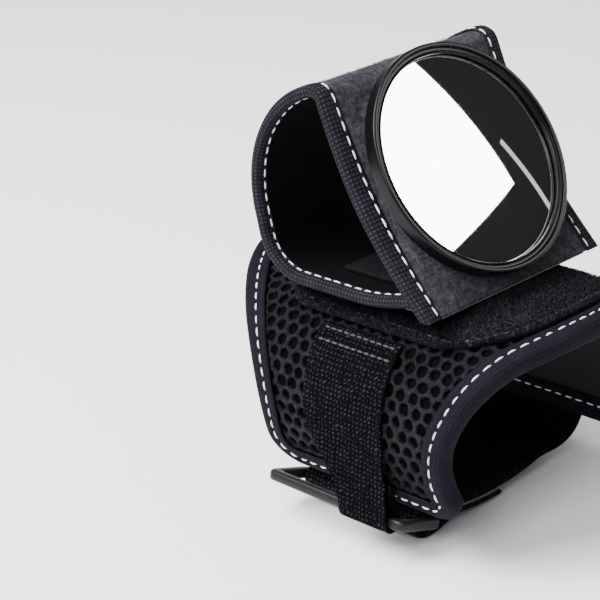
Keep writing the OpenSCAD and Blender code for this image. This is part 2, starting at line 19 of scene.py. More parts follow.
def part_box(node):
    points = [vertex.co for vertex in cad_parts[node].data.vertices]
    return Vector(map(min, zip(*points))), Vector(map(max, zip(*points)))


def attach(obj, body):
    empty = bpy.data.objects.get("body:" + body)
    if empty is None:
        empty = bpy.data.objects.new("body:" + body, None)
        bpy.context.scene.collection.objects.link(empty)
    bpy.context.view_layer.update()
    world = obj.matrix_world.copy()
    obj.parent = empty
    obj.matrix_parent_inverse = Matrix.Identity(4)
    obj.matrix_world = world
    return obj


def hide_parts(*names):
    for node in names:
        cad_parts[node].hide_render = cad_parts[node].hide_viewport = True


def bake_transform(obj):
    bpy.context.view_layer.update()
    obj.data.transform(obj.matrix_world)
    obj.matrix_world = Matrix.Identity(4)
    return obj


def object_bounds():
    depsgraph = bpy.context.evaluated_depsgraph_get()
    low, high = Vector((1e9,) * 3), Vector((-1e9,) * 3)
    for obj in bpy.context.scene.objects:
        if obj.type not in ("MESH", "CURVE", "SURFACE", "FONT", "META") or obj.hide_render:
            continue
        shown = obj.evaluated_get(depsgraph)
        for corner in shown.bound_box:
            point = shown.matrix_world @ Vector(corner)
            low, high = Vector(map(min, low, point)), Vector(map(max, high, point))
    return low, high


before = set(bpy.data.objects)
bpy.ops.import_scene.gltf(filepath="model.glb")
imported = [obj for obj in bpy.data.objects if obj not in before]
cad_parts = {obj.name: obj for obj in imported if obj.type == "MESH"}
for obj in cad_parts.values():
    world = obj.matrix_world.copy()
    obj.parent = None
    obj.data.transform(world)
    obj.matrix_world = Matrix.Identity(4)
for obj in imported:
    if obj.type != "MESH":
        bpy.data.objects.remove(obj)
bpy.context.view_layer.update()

MM = 0.001
rng = np.random.default_rng(7)


def low(node):
    return np.array(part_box(node)[0]) / MM


def high(node):
    return np.array(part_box(node)[1]) / MM


# ---- sizes ----
TOUCH = 0.05                    # gap between layers that are sewn together
LINING = 0.7                    # thickness of the lining against the skin
GUARD = 3.7                     # thickness of lining and mesh together
HALF_WIDTH = high("guard_lining")[1] - LINING
HALF_HEIGHT = high("guard_lining")[2] - LINING
WING_WIDTH = 52.0
HAND_FLARE = 25.0
ELBOW_FLARE = 17.0
WING_TIP = 2.5
HAND_CORNER = 9.0
ELBOW_CORNER = 7.0
BINDING_WIDTH = 5.2
BINDING = 0.6
BINDING_CLEAR = 0.15            # gap between a binding and the edge that it wraps

PAD_TOP = high("loop_pad")[2] - HALF_HEIGHT       # height of the pad's top off the skin side
PAD_HAND_X = low("loop_pad")[0]
TAPE_WIDTH = 23.0
TAPE = 0.9                      # thickness of the anchor tape
STRAP = 1.4                     # thickness of the closure strap
STRAP_LOW_X = low("closure_strap")[0]
STRAP_HIGH_X = high("closure_strap")[0]

FELT = 1.4
LOOP_LINING = 0.4
STRAP_THICK = FELT + LOOP_LINING
LOOP_HALF = high("strap_felt")[1]
PANEL_LENGTH = 50.5
PANEL_LEAN = 32.0
STRAP_BOTTOM = low("strap_felt")[2]
FOOT_X = 20.0

STITCH_PITCH = 3.0
STITCH_LENGTH = 1.95
THREAD_RADIUS = 0.22


# ---- the wrist's section ----
TOP_TURN = 14.0
SIDE_TURN = 20.0
CORNER_TURN = 90 - TOP_TURN - SIDE_TURN


def sind(turn):
    return math.sin(math.radians(turn))


def cosd(turn):
    return math.cos(math.radians(turn))


CORNER_RADIUS = 0.7256 * HALF_HEIGHT
_slope = math.tan(math.radians(SIDE_TURN / 2))
TOP_RADIUS = (
    HALF_WIDTH - _slope * HALF_HEIGHT
    - CORNER_RADIUS * (cosd(SIDE_TURN) - sind(TOP_TURN)
                       + _slope * (sind(SIDE_TURN) - cosd(TOP_TURN)))
) / (sind(TOP_TURN) - _slope * (1 - cosd(TOP_TURN)))
CORNER_Y = (TOP_RADIUS - CORNER_RADIUS) * sind(TOP_TURN)
CORNER_Z = HALF_HEIGHT - TOP_RADIUS + (TOP_RADIUS - CORNER_RADIUS) * cosd(TOP_TURN)
SIDE_RADIUS = CORNER_Z / sind(SIDE_TURN) + CORNER_RADIUS
SIDE_Y = CORNER_Y - (SIDE_RADIUS - CORNER_RADIUS) * cosd(SIDE_TURN)

TOP_ARC = math.radians(TOP_TURN) * (TOP_RADIUS + GUARD)
CORNER_ARC = math.radians(CORNER_TURN) * (CORNER_RADIUS + GUARD)
SIDE_ARC = math.radians(2 * SIDE_TURN) * (SIDE_RADIUS + GUARD)
HALF_ROUND = 2 * TOP_ARC + 2 * CORNER_ARC + SIDE_ARC

_ARC_ENDS = np.cumsum([0, TOP_ARC, CORNER_ARC, SIDE_ARC, CORNER_ARC, TOP_ARC])
_TURN_ENDS = [0, TOP_TURN, 90 - SIDE_TURN, 90 + SIDE_TURN, 180 - TOP_TURN, 180]


def turn_at(along):
    """Direction of the outward normal at distances around the guard's outer face, in degrees."""
    along = np.asarray(along, float)
    return np.sign(along) * np.interp(np.abs(along), _ARC_ENDS, _TURN_ENDS)


def section_point(turn, off):
    """(y, z) of points on the section at normal directions and distances off the skin."""
    turn = np.asarray(turn, float)
    size = np.abs(turn)
    side = np.where(turn < 0, -1.0, 1.0)
    arcs = [size <= TOP_TURN, size <= 90 - SIDE_TURN, size <= 90 + SIDE_TURN,
            size <= 180 - TOP_TURN]
    y = np.select(arcs, [0 * side, side * CORNER_Y, side * SIDE_Y, side * CORNER_Y], 0.0)
    z = np.select(arcs, [HALF_HEIGHT - TOP_RADIUS + 0 * side, CORNER_Z + 0 * side, 0 * side,
                         -CORNER_Z + 0 * side], TOP_RADIUS - HALF_HEIGHT)
    r = np.select(arcs, [TOP_RADIUS, CORNER_RADIUS, SIDE_RADIUS, CORNER_RADIUS], TOP_RADIUS)
    t = np.radians(turn)
    return y + (r + off) * np.sin(t), z + (r + off) * np.cos(t)


def on_guard(flat):
    """Lays flat points (x along the arm, distance around, height off the skin) on the guard."""
    y, z = section_point(turn_at(flat[:, 1]), flat[:, 2])
    return np.column_stack([flat[:, 0], y, z])


def smooth(t):
    u = np.clip(t, 0, 1)
    return u * u * (3 - 2 * u)


WING_OVERRUN = 5.0              # length of each wing past the side of the wrist
WING_REACH = TOP_ARC + CORNER_ARC + SIDE_ARC + WING_OVERRUN
WING_SHIFT = 0.6                # how far the guard sits towards the hand


def flare(along, reach, power):
    ratio = np.clip(np.abs(along) / reach, 0, 1)
    return np.maximum(np.cos(np.radians(90 * ratio)), 0) ** power


def hand_edge(along):
    return -WING_WIDTH / 2 - WING_SHIFT - HAND_FLARE * flare(along, 0.93 * WING_REACH, 3)


def elbow_edge(along):
    return (WING_WIDTH / 2 - WING_SHIFT + ELBOW_FLARE * flare(along, 0.84 * WING_REACH, 1.7)
            + WING_TIP * smooth((np.abs(along) - WING_REACH + 22) / 22))


def distances(line):
    """Distance of each point of a line from its start."""
    steps = np.linalg.norm(np.diff(line, axis=0), axis=1)
    return np.concatenate([[0], np.cumsum(steps)])


def corner_cut(along, reach, radius):
    """How far an edge draws in near the ends of its reach, to round the corners."""
    d = np.clip(np.abs(along) - (reach - radius), 0, radius)
    return radius - np.sqrt(np.maximum(radius * radius - d * d, 0))


def resample(line, step, closed=False):
    """Points at even steps along a line of points, with the distance of each."""
    line = np.asarray(line, float)
    if closed:
        line = np.vstack([line, line[:1]])
    run = distances(line)
    count = max(2, int(round(run[-1] / step)))
    at = np.linspace(0, run[-1], count + 1)
    if closed:
        at = at[:-1]
    return np.column_stack([np.interp(at, run, line[:, k]) for k in range(line.shape[1])]), at


def guard_outline():
    """The guard's edge as flat points (x, distance around), starting on the hand side."""
    wing = np.linspace(-1, 1, 160)
    quarter = np.radians(np.linspace(0, 90, 12))[1:-1]
    corner = np.column_stack([1 - np.cos(quarter), np.sin(quarter) - 1])
    hand = wing * (WING_REACH - HAND_CORNER)
    elbow = -wing * (WING_REACH - ELBOW_CORNER)
    hand_end = np.array([hand_edge(WING_REACH), WING_REACH])
    elbow_end = np.array([elbow_edge(WING_REACH), WING_REACH])
    flip = np.array([1, -1])
    return np.vstack([
        np.column_stack([hand_edge(hand), hand]),
        hand_end + HAND_CORNER * corner,
        elbow_end - ELBOW_CORNER * corner[::-1] * flip,
        np.column_stack([elbow_edge(elbow), elbow]),
        elbow_end * flip - ELBOW_CORNER * corner,
        hand_end * flip + HAND_CORNER * corner[::-1] * flip])


# ---- tracks ----
class Track:
    """A path in a plane that cloth follows: flat (across, along, height) becomes a place."""

    def __init__(self, points, normals, plane):
        self.points = np.asarray(points, float)
        self.normals = np.asarray(normals, float)
        self.run = distances(self.points)
        self.length = self.run[-1]
        self.plane = plane

    def __call__(self, flat):
        p = [np.interp(flat[:, 1], self.run, self.points[:, k]) for k in (0, 1)]
        n = np.column_stack([np.interp(flat[:, 1], self.run, self.normals[:, k])
                             for k in (0, 1)])
        n /= np.linalg.norm(n, axis=1)[:, None]
        first = p[0] + n[:, 0] * flat[:, 2]
        second = p[1] + n[:, 1] * flat[:, 2]
        if self.plane == "yz":
            return np.column_stack([flat[:, 0], first, second])
        return np.column_stack([first, flat[:, 0], second])


# Ring and the two pieces of tape that hold it, in the plane across the arm
RING_BAR = 2.7
RING_THICK = 2.4
RING_SPAN = 10.8
RING_DIP = 19.0
RING_EASE = 0.5
ring_mid = (low("ring") + high("ring")) / 2
ring_run = np.array([cosd(RING_DIP), -sind(RING_DIP)])
near_bar = ring_mid[1:] - ring_run * RING_SPAN / 2
far_bar = ring_mid[1:] + ring_run * RING_SPAN / 2
bar_reach = math.hypot(RING_BAR / 2, RING_THICK / 2 - RING_EASE)
TAPE_CLEAR = 0.2                # gap between the near bar and its tape
FOLD_CLEAR = 0.9                # gap between the far bar and the strap folded around it
tape_radius = bar_reach + TAPE_CLEAR
fold_radius = bar_reach + FOLD_CLEAR
FOLD_TURN = -(180 - 31.7)
SKIN_GAP = 0.3                  # gap between the closure strap and the skin
TAPE_WRAP = 200                 # turn of the tape around the near bar
TAPE_RETURN = 8                 # length of the tape's end that runs back up


def around(along):
    return np.where(along > HALF_ROUND, along - 2 * HALF_ROUND, along)


def wrist_run(along, gap):
    """Points and outward normals around the wrist at distances and gaps off the skin."""
    turn = turn_at(around(along))
    y, z = section_point(turn, gap)
    t = np.radians(turn)
    return np.column_stack([y, z]), np.column_stack([np.sin(t), np.cos(t)])


def tape_track():
    """Down the wing, straight to the near bar, around it and a little way back up."""
    off = GUARD + TOUCH
    start = -(PAD_REACH + 1.2)
    side_face = SIDE_RADIUS + off
    to_bar = near_bar - [-SIDE_Y, 0]
    leave = -(90 + math.degrees(math.atan2(-to_bar[1], -to_bar[0])
                                - math.acos((side_face - tape_radius)
                                            / np.linalg.norm(to_bar))))
    leave_along = -(TOP_ARC + CORNER_ARC + SIDE_ARC * (-leave - (90 - SIDE_TURN))
                    / (2 * SIDE_TURN))
    points, normals = wrist_run(np.linspace(start, leave_along, 60), off)
    out = np.array([sind(leave), cosd(leave)])
    touch = near_bar + tape_radius * out
    straight = np.linspace(points[-1], touch, 14)[1:]
    wrap = np.radians(leave - np.linspace(0, TAPE_WRAP, 50)[1:])
    round_bar = np.column_stack([np.sin(wrap), np.cos(wrap)])
    back = round_bar[-1]
    ahead = np.array([-back[1], back[0]])
    end = near_bar + tape_radius * back + np.linspace(0, TAPE_RETURN, 10)[1:, None] * ahead
    track = Track(np.vstack([points, straight, near_bar + tape_radius * round_bar, end]),
                  np.vstack([normals, np.tile(out, (len(straight), 1)), round_bar,
                             np.tile(back, (len(end), 1))]), "yz")
    first, last = len(points) - 1, len(points) + len(straight) - 1
    track.to_bar = (track.run[first], track.run[last])
    return track


PAD_SHARE = 0.36                # part of the wrist's corner that the pad covers
PAD_REACH = TOP_ARC + PAD_SHARE * CORNER_ARC
STRAP_START = WING_REACH - 16
FOLD_ALONG = HALF_ROUND + TOP_ARC + CORNER_ARC * (180 - TOP_TURN + FOLD_TURN) / CORNER_TURN


def strap_gap(along):
    on = smooth((along - (WING_REACH - BINDING_WIDTH - 4)) / 3)
    down = smooth((along - WING_REACH - 2) / 15)
    return (GUARD + TOUCH + on * (BINDING + BINDING_CLEAR)) * (1 - down) + SKIN_GAP * down


def closure_track():
    """From the little finger side wing, under the wrist and around the far bar."""
    along = np.linspace(STRAP_START, FOLD_ALONG, 240)
    points, normals = wrist_run(along, strap_gap(along))
    turn = np.radians(FOLD_TURN + 180 - np.linspace(0, 180, 60)[1:])
    out = np.column_stack([np.sin(turn), np.cos(turn)])
    return Track(np.vstack([points, far_bar + (fold_radius + STRAP) * out]),
                 np.vstack([normals, -out]), "yz")


TAIL_LENGTH = 27.0
TAIL_SETTLE = 13.0              # distance over which the tail comes up onto the strap
PATCH = 0.7                     # thickness of the hook patch on the tail
PATCH_LENGTH = 13.0


def tail_track():
    """From the end of the fold back under the palm side, settling onto the strap."""
    fold_gap = SKIN_GAP + STRAP + 2 * fold_radius
    lay_gap = SKIN_GAP + STRAP + 0.2
    back = np.linspace(0, TAIL_LENGTH, 80)
    gap = lay_gap + (fold_gap - lay_gap) * (1 - smooth(back / TAIL_SETTLE))
    points, normals = wrist_run(FOLD_ALONG - back, gap)
    return Track(points, normals, "yz")


# The mirror strap's loop, in the plane along the arm: up the panel, over the top, down the back
PANEL_HEADING = 90 + PANEL_LEAN
TOP_BEND, BACK_BEND, LOW_BEND = 4.6, 26.6, 11.7
TOP_HEADING, BACK_HEADING = 198, 281
TONGUE_BEND, TONGUE_HEADING, TONGUE_START_X = 50.0, 14.0, -2.0
foot = np.array([FOOT_X, STRAP_BOTTOM])


def heading_vector(h):
    return np.array([cosd(h), sind(h)])


def left_of(h):
    return np.array([-sind(h), cosd(h)])


def walk(point, heading, pieces, step=0.8):
    """Track along a chain of pieces, each (length, 0) or (turn in degrees, radius)."""
    points, headings = [np.array(point)], [heading]
    for size, radius in pieces:
        length = size if radius == 0 else math.radians(size) * radius
        count = max(2, int(math.ceil(length / step)))
        start, first = points[-1], headings[-1]
        for k in range(1, count + 1):
            if radius == 0:
                points.append(start + size * k / count * heading_vector(first))
                headings.append(first)
            else:
                now = first + size * k / count
                points.append(start + radius * (left_of(first) - left_of(now)))
                headings.append(now)
    return Track(points, [left_of(h) for h in headings], "xz")


panel_normal = np.array([cosd(PANEL_LEAN), sind(PANEL_LEAN)])
panel_top = foot + PANEL_LENGTH * heading_vector(PANEL_HEADING)
_drop = (TOP_BEND * (cosd(PANEL_HEADING) - cosd(TOP_HEADING))
         + BACK_BEND * (cosd(TOP_HEADING) - cosd(BACK_HEADING))
         + LOW_BEND * (cosd(BACK_HEADING) - 1))
BACK_LINE = -(panel_top[1] + _drop - STRAP_BOTTOM) / sind(BACK_HEADING)
LOW_POINT_X = (panel_top[0] + TOP_BEND * (sind(TOP_HEADING) - sind(PANEL_HEADING))
               + BACK_BEND * (sind(BACK_HEADING) - sind(TOP_HEADING))
               + BACK_LINE * cosd(BACK_HEADING) - LOW_BEND * sind(BACK_HEADING))


def panel_depth(point):
    return (foot - point) @ panel_normal


def rise_end(lift):
    return (np.array([TONGUE_START_X, STRAP_BOTTOM + lift])
            + (TONGUE_BEND - lift) * np.array([sind(TONGUE_HEADING), 1 - cosd(TONGUE_HEADING)]))


_climb = heading_vector(TONGUE_HEADING) @ panel_normal
_lean = left_of(TONGUE_HEADING) @ panel_normal
TONGUE_LINE = (panel_depth(rise_end(0)) - STRAP_THICK - 0.4 - STRAP_THICK * _lean) / _climb
loop_track = walk(foot, PANEL_HEADING, [
    (PANEL_LENGTH, 0),
    (TOP_HEADING - PANEL_HEADING, TOP_BEND),
    (BACK_HEADING - TOP_HEADING, BACK_BEND),
    (BACK_LINE, 0),
    (360 - BACK_HEADING, LOW_BEND),
    (TONGUE_START_X - LOW_POINT_X, 0),
    (TONGUE_HEADING, TONGUE_BEND),
    (TONGUE_LINE, 0)])
TAB = 1.1
TAB_START_X = -12.0
TAB_BEND = 2.2
TAB_CLIMB = 9.0
TAB_HALF = high("strap_hook_tab")[1]
_tab_off = STRAP_THICK + TOUCH
TAB_LINE = (panel_depth(rise_end(_tab_off)) - _tab_off - TAB_BEND - TAB_BEND * _lean) / _climb
tab_track = walk((TAB_START_X, STRAP_BOTTOM + _tab_off), 0, [
    (TONGUE_START_X - TAB_START_X, 0),
    (TONGUE_HEADING, TONGUE_BEND - _tab_off),
    (TAB_LINE, 0),
    (PANEL_HEADING - TONGUE_HEADING, TAB_BEND),
    (TAB_CLIMB, 0)], step=0.2)
CURL_BACK = 3.6                 # how far the panel's edges bend back from the stiff mirror
CURL_START = 13.0               # half the width of the panel's flat middle


def on_loop(flat):
    """Lays points (across, along, depth) on the loop. The panel's long edges curl back, and
    its foot is cut level: points below the strap's bottom slide up the panel."""
    curled = flat.copy()
    outward = smooth((np.abs(flat[:, 0]) - CURL_START) / (LOOP_HALF - CURL_START + 2))
    curled[:, 2] += (CURL_BACK * outward
                     * np.sin(np.pi * np.clip(flat[:, 1] / (PANEL_LENGTH + 2), 0, 1)))
    placed = loop_track(curled)
    sunk = np.maximum(STRAP_BOTTOM + 0.02 - placed[:, 2], 0)
    near_foot = flat[:, 1] < PANEL_LENGTH / 2
    slide = np.where(near_foot, sunk / sind(PANEL_HEADING), 0)
    placed[:, 0] += slide * cosd(PANEL_HEADING)
    placed[:, 2] += slide * sind(PANEL_HEADING)
    return placed


# ---- mesh makers ----
def rough(points, size, seed):
    """Smooth noise from -1 to 1 at points, with lumps of about the given size."""
    shift = Vector((seed * 7.3, seed * 3.1, seed * 1.7))
    return np.array([noise.noise(Vector(p) / size + shift) for p in points])


def lumps(a, s, size, seed):
    """The same noise over flat cloth, at places across and along it."""
    return rough(np.column_stack([a, s, 0 * a]), size, seed)


def make(name, verts, faces, material, cloth, outward=True):
    """A smooth mesh object from points in millimetres. cloth is the flat place of each point."""
    mesh = bpy.data.meshes.new(name)
    mesh.from_pydata((np.asarray(verts) * MM).tolist(), [], faces)
    attribute = mesh.attributes.new("cloth", "FLOAT_VECTOR", "POINT")
    attribute.data.foreach_set("vector", np.asarray(cloth, np.float32).ravel())
    if outward:
        bm = bmesh.new()
        bm.from_mesh(mesh)
        bmesh.ops.recalc_face_normals(bm, faces=bm.faces)
        bm.to_mesh(mesh)
        bm.free()
    mesh.polygons.foreach_set("use_smooth", [True] * len(mesh.polygons))
    mesh.materials.append(material)
    mesh.update()
    obj = bpy.data.objects.new(name, mesh)
    bpy.context.scene.collection.objects.link(obj)
    return obj


def grid_faces(rows, columns, first=0, wrap=False):
    faces = []
    for i in range(rows - 1):
        for j in range(columns if wrap else columns - 1):
            a = first + i * columns + j
            b = first + i * columns + (j + 1) % columns
            faces.append((a, b, b + columns, a + columns))
    return faces


def spread(count, edge):
    """Shares from 0 to 1 with extra ones near both ends, for an edge that is rounded."""
    inner = np.linspace(edge, 1 - edge, count)
    ease = np.array([0, 0.12, 0.45]) * edge
    return np.concatenate([ease, inner, 1 - ease[::-1]])


def slab(name, place, rows, low_side, high_side, bottom, top, columns, material,
         ease=0.4, relief=None, under=None):
    """A flat solid with rounded edges, between two sides and two heights, laid on a track.

    relief and under give the change in height of the top and the bottom at flat points."""
    rows = np.asarray(rows, float)
    flat_low, flat_high = (np.broadcast_to(side(rows) if callable(side) else side, rows.shape)
                           for side in (low_side, high_side))
    width = (flat_high - flat_low).mean()
    share = spread(columns, min(0.2, ease / width))
    across = flat_low[:, None] + (flat_high - flat_low)[:, None] * share[None, :]
    along = np.repeat(rows[:, None], len(share), axis=1)
    edge = np.minimum(np.minimum(across - flat_low[:, None], flat_high[:, None] - across),
                      np.minimum(along - rows[0], rows[-1] - along))
    inside = np.clip(ease - edge, 0, ease)
    lift = ease - np.sqrt(np.maximum(ease * ease - inside * inside, 0))
    lift = np.minimum(lift, 0.48 * (top - bottom))
    upper = np.stack([across, along, top - lift], -1).reshape(-1, 3)
    lower = np.stack([across, along, bottom + lift], -1).reshape(-1, 3)
    for face, change in ((upper, relief), (lower, under)):
        if change is not None:
            face[:, 2] += change(face[:, 0], face[:, 1]) * smooth(edge.ravel() / max(ease, 0.4))
    n, m = len(rows), len(share)
    faces = grid_faces(n, m) + [f[::-1] for f in grid_faces(n, m, first=n * m)]
    rim = (list(range(m)) + [i * m + m - 1 for i in range(1, n)]
           + [(n - 1) * m + j for j in range(m - 2, -1, -1)]
           + [i * m for i in range(n - 2, 0, -1)])
    for k, a in enumerate(rim):
        b = rim[(k + 1) % len(rim)]
        faces.append((b, a, a + n * m, b + n * m))
    flat = np.vstack([upper, lower])
    return make(name, place(flat), faces, material, cloth=flat)


def left_side(line, closed):
    """Unit directions to the left of a flat line."""
    if closed:
        ahead = np.roll(line, -1, axis=0) - np.roll(line, 1, axis=0)
    else:
        ahead = np.gradient(line, axis=0)
    ahead /= np.linalg.norm(ahead, axis=1)[:, None]
    return np.column_stack([-ahead[:, 1], ahead[:, 0]])


def stitches(name, place, line, height, material, pitch=STITCH_PITCH, length=STITCH_LENGTH,
             radius=THREAD_RADIUS, closed=False, sign=1):
    """A row of stitches along a flat line: short arched threads whose ends dive into the cloth."""
    fine_step = 0.25
    fine, run = resample(line, fine_step, closed)
    side = left_side(fine, closed)
    total = run[-1] + (fine_step if closed else 0)
    count = max(1, int(total // pitch))
    share = np.linspace(0, 1, 7)
    thick = np.array([0.35, 0.8, 1, 1, 1, 0.8, 0.35])
    rise = np.sin(np.pi * share) ** 0.6
    turns = np.linspace(0, 2 * math.pi, 7)[:-1]
    verts, faces, cloth = [], [], []
    for k in range(count):
        middle = (k + 0.5) * total / count + 0.08 * rng.standard_normal()
        size = length * (1 + 0.05 * rng.standard_normal())
        skew = 0.05 * rng.standard_normal()
        first = len(verts)
        for s, w, up in zip(share, thick, rise):
            at = min(max(middle + (s - 0.5) * size, 0), run[-1])
            p = [np.interp(at, run, fine[:, c]) for c in (0, 1)]
            d = [np.interp(at, run, side[:, c]) for c in (0, 1)]
            for t in turns:
                out = w * radius * math.cos(t) + skew * (s - 0.5)
                verts.append((p[0] + out * d[0], p[1] + out * d[1],
                              height + sign * ((up * 0.55 - 0.3) * radius
                                               + 0.85 * w * radius * math.sin(t))))
                cloth.append((t, at, radius))
        faces += grid_faces(7, 6, first=first, wrap=True)
        faces.append(tuple(range(first, first + 6)))
        faces.append(tuple(range(first + 36, first + 42))[::-1])
    return make(name, place(np.array(verts)), faces, material, cloth=cloth)


def fibres(name, place, roots, material, length, rise, width, loops=False, side=1):
    """Many short curved fibres or little loops standing on flat points."""
    count = len(roots)
    lay = rng.uniform(0, 2 * math.pi, count)
    size = length * rng.uniform(0.6, 1.3, count)
    tall = rise * rng.uniform(0.5, 1.3, count)
    share = np.array([0, 0.3, 0.7, 1.0])
    up = np.sin(np.pi * share) if loops else share ** 0.8
    up[0] = -0.15
    verts, cloth = [], []
    for k, s in enumerate(share):
        bend = lay + 0.9 * (s - 0.5) * rng.uniform(-1, 1, count)
        middle = np.column_stack([
            roots[:, 0] + (s - 0.5) * size * np.cos(bend),
            roots[:, 1] + (s - 0.5) * size * np.sin(bend),
            roots[:, 2] + side * up[k] * tall])
        half = 0.5 * width * (1 if loops or k < 3 else 0.3)
        wide = np.column_stack([-np.sin(lay) * half, np.cos(lay) * half, np.zeros(count)])
        verts += [middle - wide, middle + wide]
        cloth += [middle, middle]
    stack = np.stack(verts, 1).reshape(-1, 3)
    flat = np.stack(cloth, 1).reshape(-1, 3)
    faces = []
    for k in range(count):
        a = 8 * k
        faces += [(a + 2 * j, a + 2 * j + 1, a + 2 * j + 3, a + 2 * j + 2) for j in range(3)]
    return make(name, place(stack), faces, material, cloth=flat, outward=False)


def sweep(name, place, rows, section, material, closed=False, weave=None):
    """A section carried along rows. section(row) gives flat points; the ends are capped."""
    rings = [np.asarray(section(r), float) for r in rows]
    m = len(rings[0])
    flat = np.vstack(rings)
    n = len(rings)
    faces = grid_faces(n, m, wrap=True)
    if closed:
        last = (n - 1) * m
        faces += [(last + j, last + (j + 1) % m, (j + 1) % m, j) for j in range(m)]
    else:
        faces += [tuple(range(m)), tuple(range((n - 1) * m, n * m))[::-1]]
    cloth = flat if weave is None else np.vstack([weave(r) for r in rows])
    return make(name, place(flat), faces, material, cloth=cloth)


def lathe(name, outline, material, place, turns=128, closed=True):
    """A turned solid: outline points are (radius, height) and closed, or start on the axis."""
    outline = np.asarray(outline, float)
    t = np.linspace(0, 2 * math.pi, turns, endpoint=False)
    flat = np.stack([np.outer(np.cos(t), outline[:, 0]), np.outer(np.sin(t), outline[:, 0]),
                     np.tile(outline[:, 1], (turns, 1))], -1).reshape(-1, 3)
    m = len(outline)
    faces = []
    for i in range(turns):
        a, b = i * m, ((i + 1) % turns) * m
        faces += [(a + j, a + (j + 1) % m, b + (j + 1) % m, b + j)
                  for j in range(m if closed else m - 1)]
    obj = make(name, place(flat), faces, material, cloth=flat)
    bm = bmesh.new()
    bm.from_mesh(obj.data)
    bmesh.ops.remove_doubles(bm, verts=bm.verts, dist=1e-6)
    bmesh.ops.dissolve_degenerate(bm, edges=bm.edges, dist=1e-7)
    bmesh.ops.recalc_face_normals(bm, faces=bm.faces)
    bm.to_mesh(obj.data)
    bm.free()
    obj.data.polygons.foreach_set("use_smooth", [True] * len(obj.data.polygons))
    return obj


def crease(obj, angle=35):
    """Keeps edges sharper than the angle crisp and the rest smooth."""
    limit = math.radians(angle)
    bm = bmesh.new()
    bm.from_mesh(obj.data)
    for edge in bm.edges:
        if len(edge.link_faces) == 2 and edge.calc_face_angle(0) > limit:
            edge.smooth = False
    bm.to_mesh(obj.data)
    bm.free()
    return obj


# ---- materials ----
class Paint:
    """A principled material with helpers for its colour, weave and bump."""

    def __init__(self, name, colour, roughness, **sockets):
        self.material = bpy.data.materials.new(name)
        self.material.use_nodes = True
        self.nodes = self.material.node_tree.nodes
        self.links = self.material.node_tree.links
        self.shader = self.nodes["Principled BSDF"]
        self.shader.inputs["Base Color"].default_value = (*colour, 1)
        self.shader.inputs["Roughness"].default_value = roughness
        self.shader.inputs["Sheen Tint"].default_value = (*shade(colour, 4), 1)
        for socket, value in sockets.items():
            self.shader.inputs[socket.replace("_", " ")].default_value = value
        self.material.diffuse_color = (*colour, 1)
        self.height = None

    def node(self, kind, **settings):
        made = self.nodes.new(kind)
        for key, value in settings.items():
            setattr(made, key, value)
        return made

    def plug(self, socket, value):
        if isinstance(value, bpy.types.NodeSocket):
            self.links.new(value, socket)
        else:
            socket.default_value = value

    def cloth(self):
        return self.node("ShaderNodeAttribute", attribute_name="cloth").outputs["Vector"]

    def place(self):
        """Object position in millimetres."""
        scaled = self.node("ShaderNodeVectorMath", operation="SCALE")
        self.links.new(self.node("ShaderNodeTexCoord").outputs["Object"], scaled.inputs[0])
        scaled.inputs["Scale"].default_value = 1 / MM
        return scaled.outputs[0]

    def axis(self, vector, which):
        split = self.node("ShaderNodeSeparateXYZ")
        self.links.new(vector, split.inputs[0])
        return split.outputs[which]

    def math(self, operation, a, b=0.0, c=0.0):
        made = self.node("ShaderNodeMath", operation=operation)
        for socket, value in zip(made.inputs, (a, b, c)):
            self.plug(socket, value)
        return made.outputs[0]

    def wave(self, value, pitch):
        """0 to 1 and back once every pitch."""
        turn = self.math("MULTIPLY_ADD", value, 2 * math.pi / pitch, 0.0)
        return self.math("MULTIPLY_ADD", self.math("SINE", turn), 0.5, 0.5)

    def mix(self, a, share_a, b, share_b):
        return self.math("MULTIPLY_ADD", a, share_a, self.math("MULTIPLY", b, share_b))

    def noise(self, vector, size, detail=3.0, stretch=(1, 1, 1), roughness=0.55):
        mapping = self.node("ShaderNodeMapping")
        self.links.new(vector, mapping.inputs["Vector"])
        mapping.inputs["Scale"].default_value = [s / size for s in stretch]
        made = self.node("ShaderNodeTexNoise")
        self.links.new(mapping.outputs[0], made.inputs["Vector"])
        made.inputs["Scale"].default_value = 1.0
        made.inputs["Detail"].default_value = detail
        made.inputs["Roughness"].default_value = roughness
        return made.outputs["Fac"]

    def ramp(self, value, stops):
        made = self.node("ShaderNodeValToRGB")
        self.plug(made.inputs[0], value)
        ramp = made.color_ramp
        while len(ramp.elements) < len(stops):
            ramp.elements.new(0.5)
        for element, (at, colour) in zip(ramp.elements, stops):
            element.position = at
            element.color = (*colour, 1) if len(colour) == 3 else colour
        return made.outputs[0]

    def colour(self, value, stops):
        self.links.new(self.ramp(value, stops), self.shader.inputs["Base Color"])
        return self

    def rough(self, value, from_, to):
        spread_out = self.math("MULTIPLY_ADD", value, to - from_, from_)
        self.links.new(spread_out, self.shader.inputs["Roughness"])
        return self

    def bump(self, value, depth):
        """Raises the surface by a height in millimetres. Several calls add up."""
        made = self.node("ShaderNodeBump")
        made.inputs["Strength"].default_value = 1.0
        made.inputs["Distance"].default_value = depth * MM
        self.plug(made.inputs["Height"], value)
        if self.height is not None:
            self.links.new(self.height, made.inputs["Normal"])
        self.height = made.outputs["Normal"]
        self.links.new(self.height, self.shader.inputs["Normal"])
        return self


def shade(colour, factor):
    return tuple(min(1.0, c * factor) for c in colour)


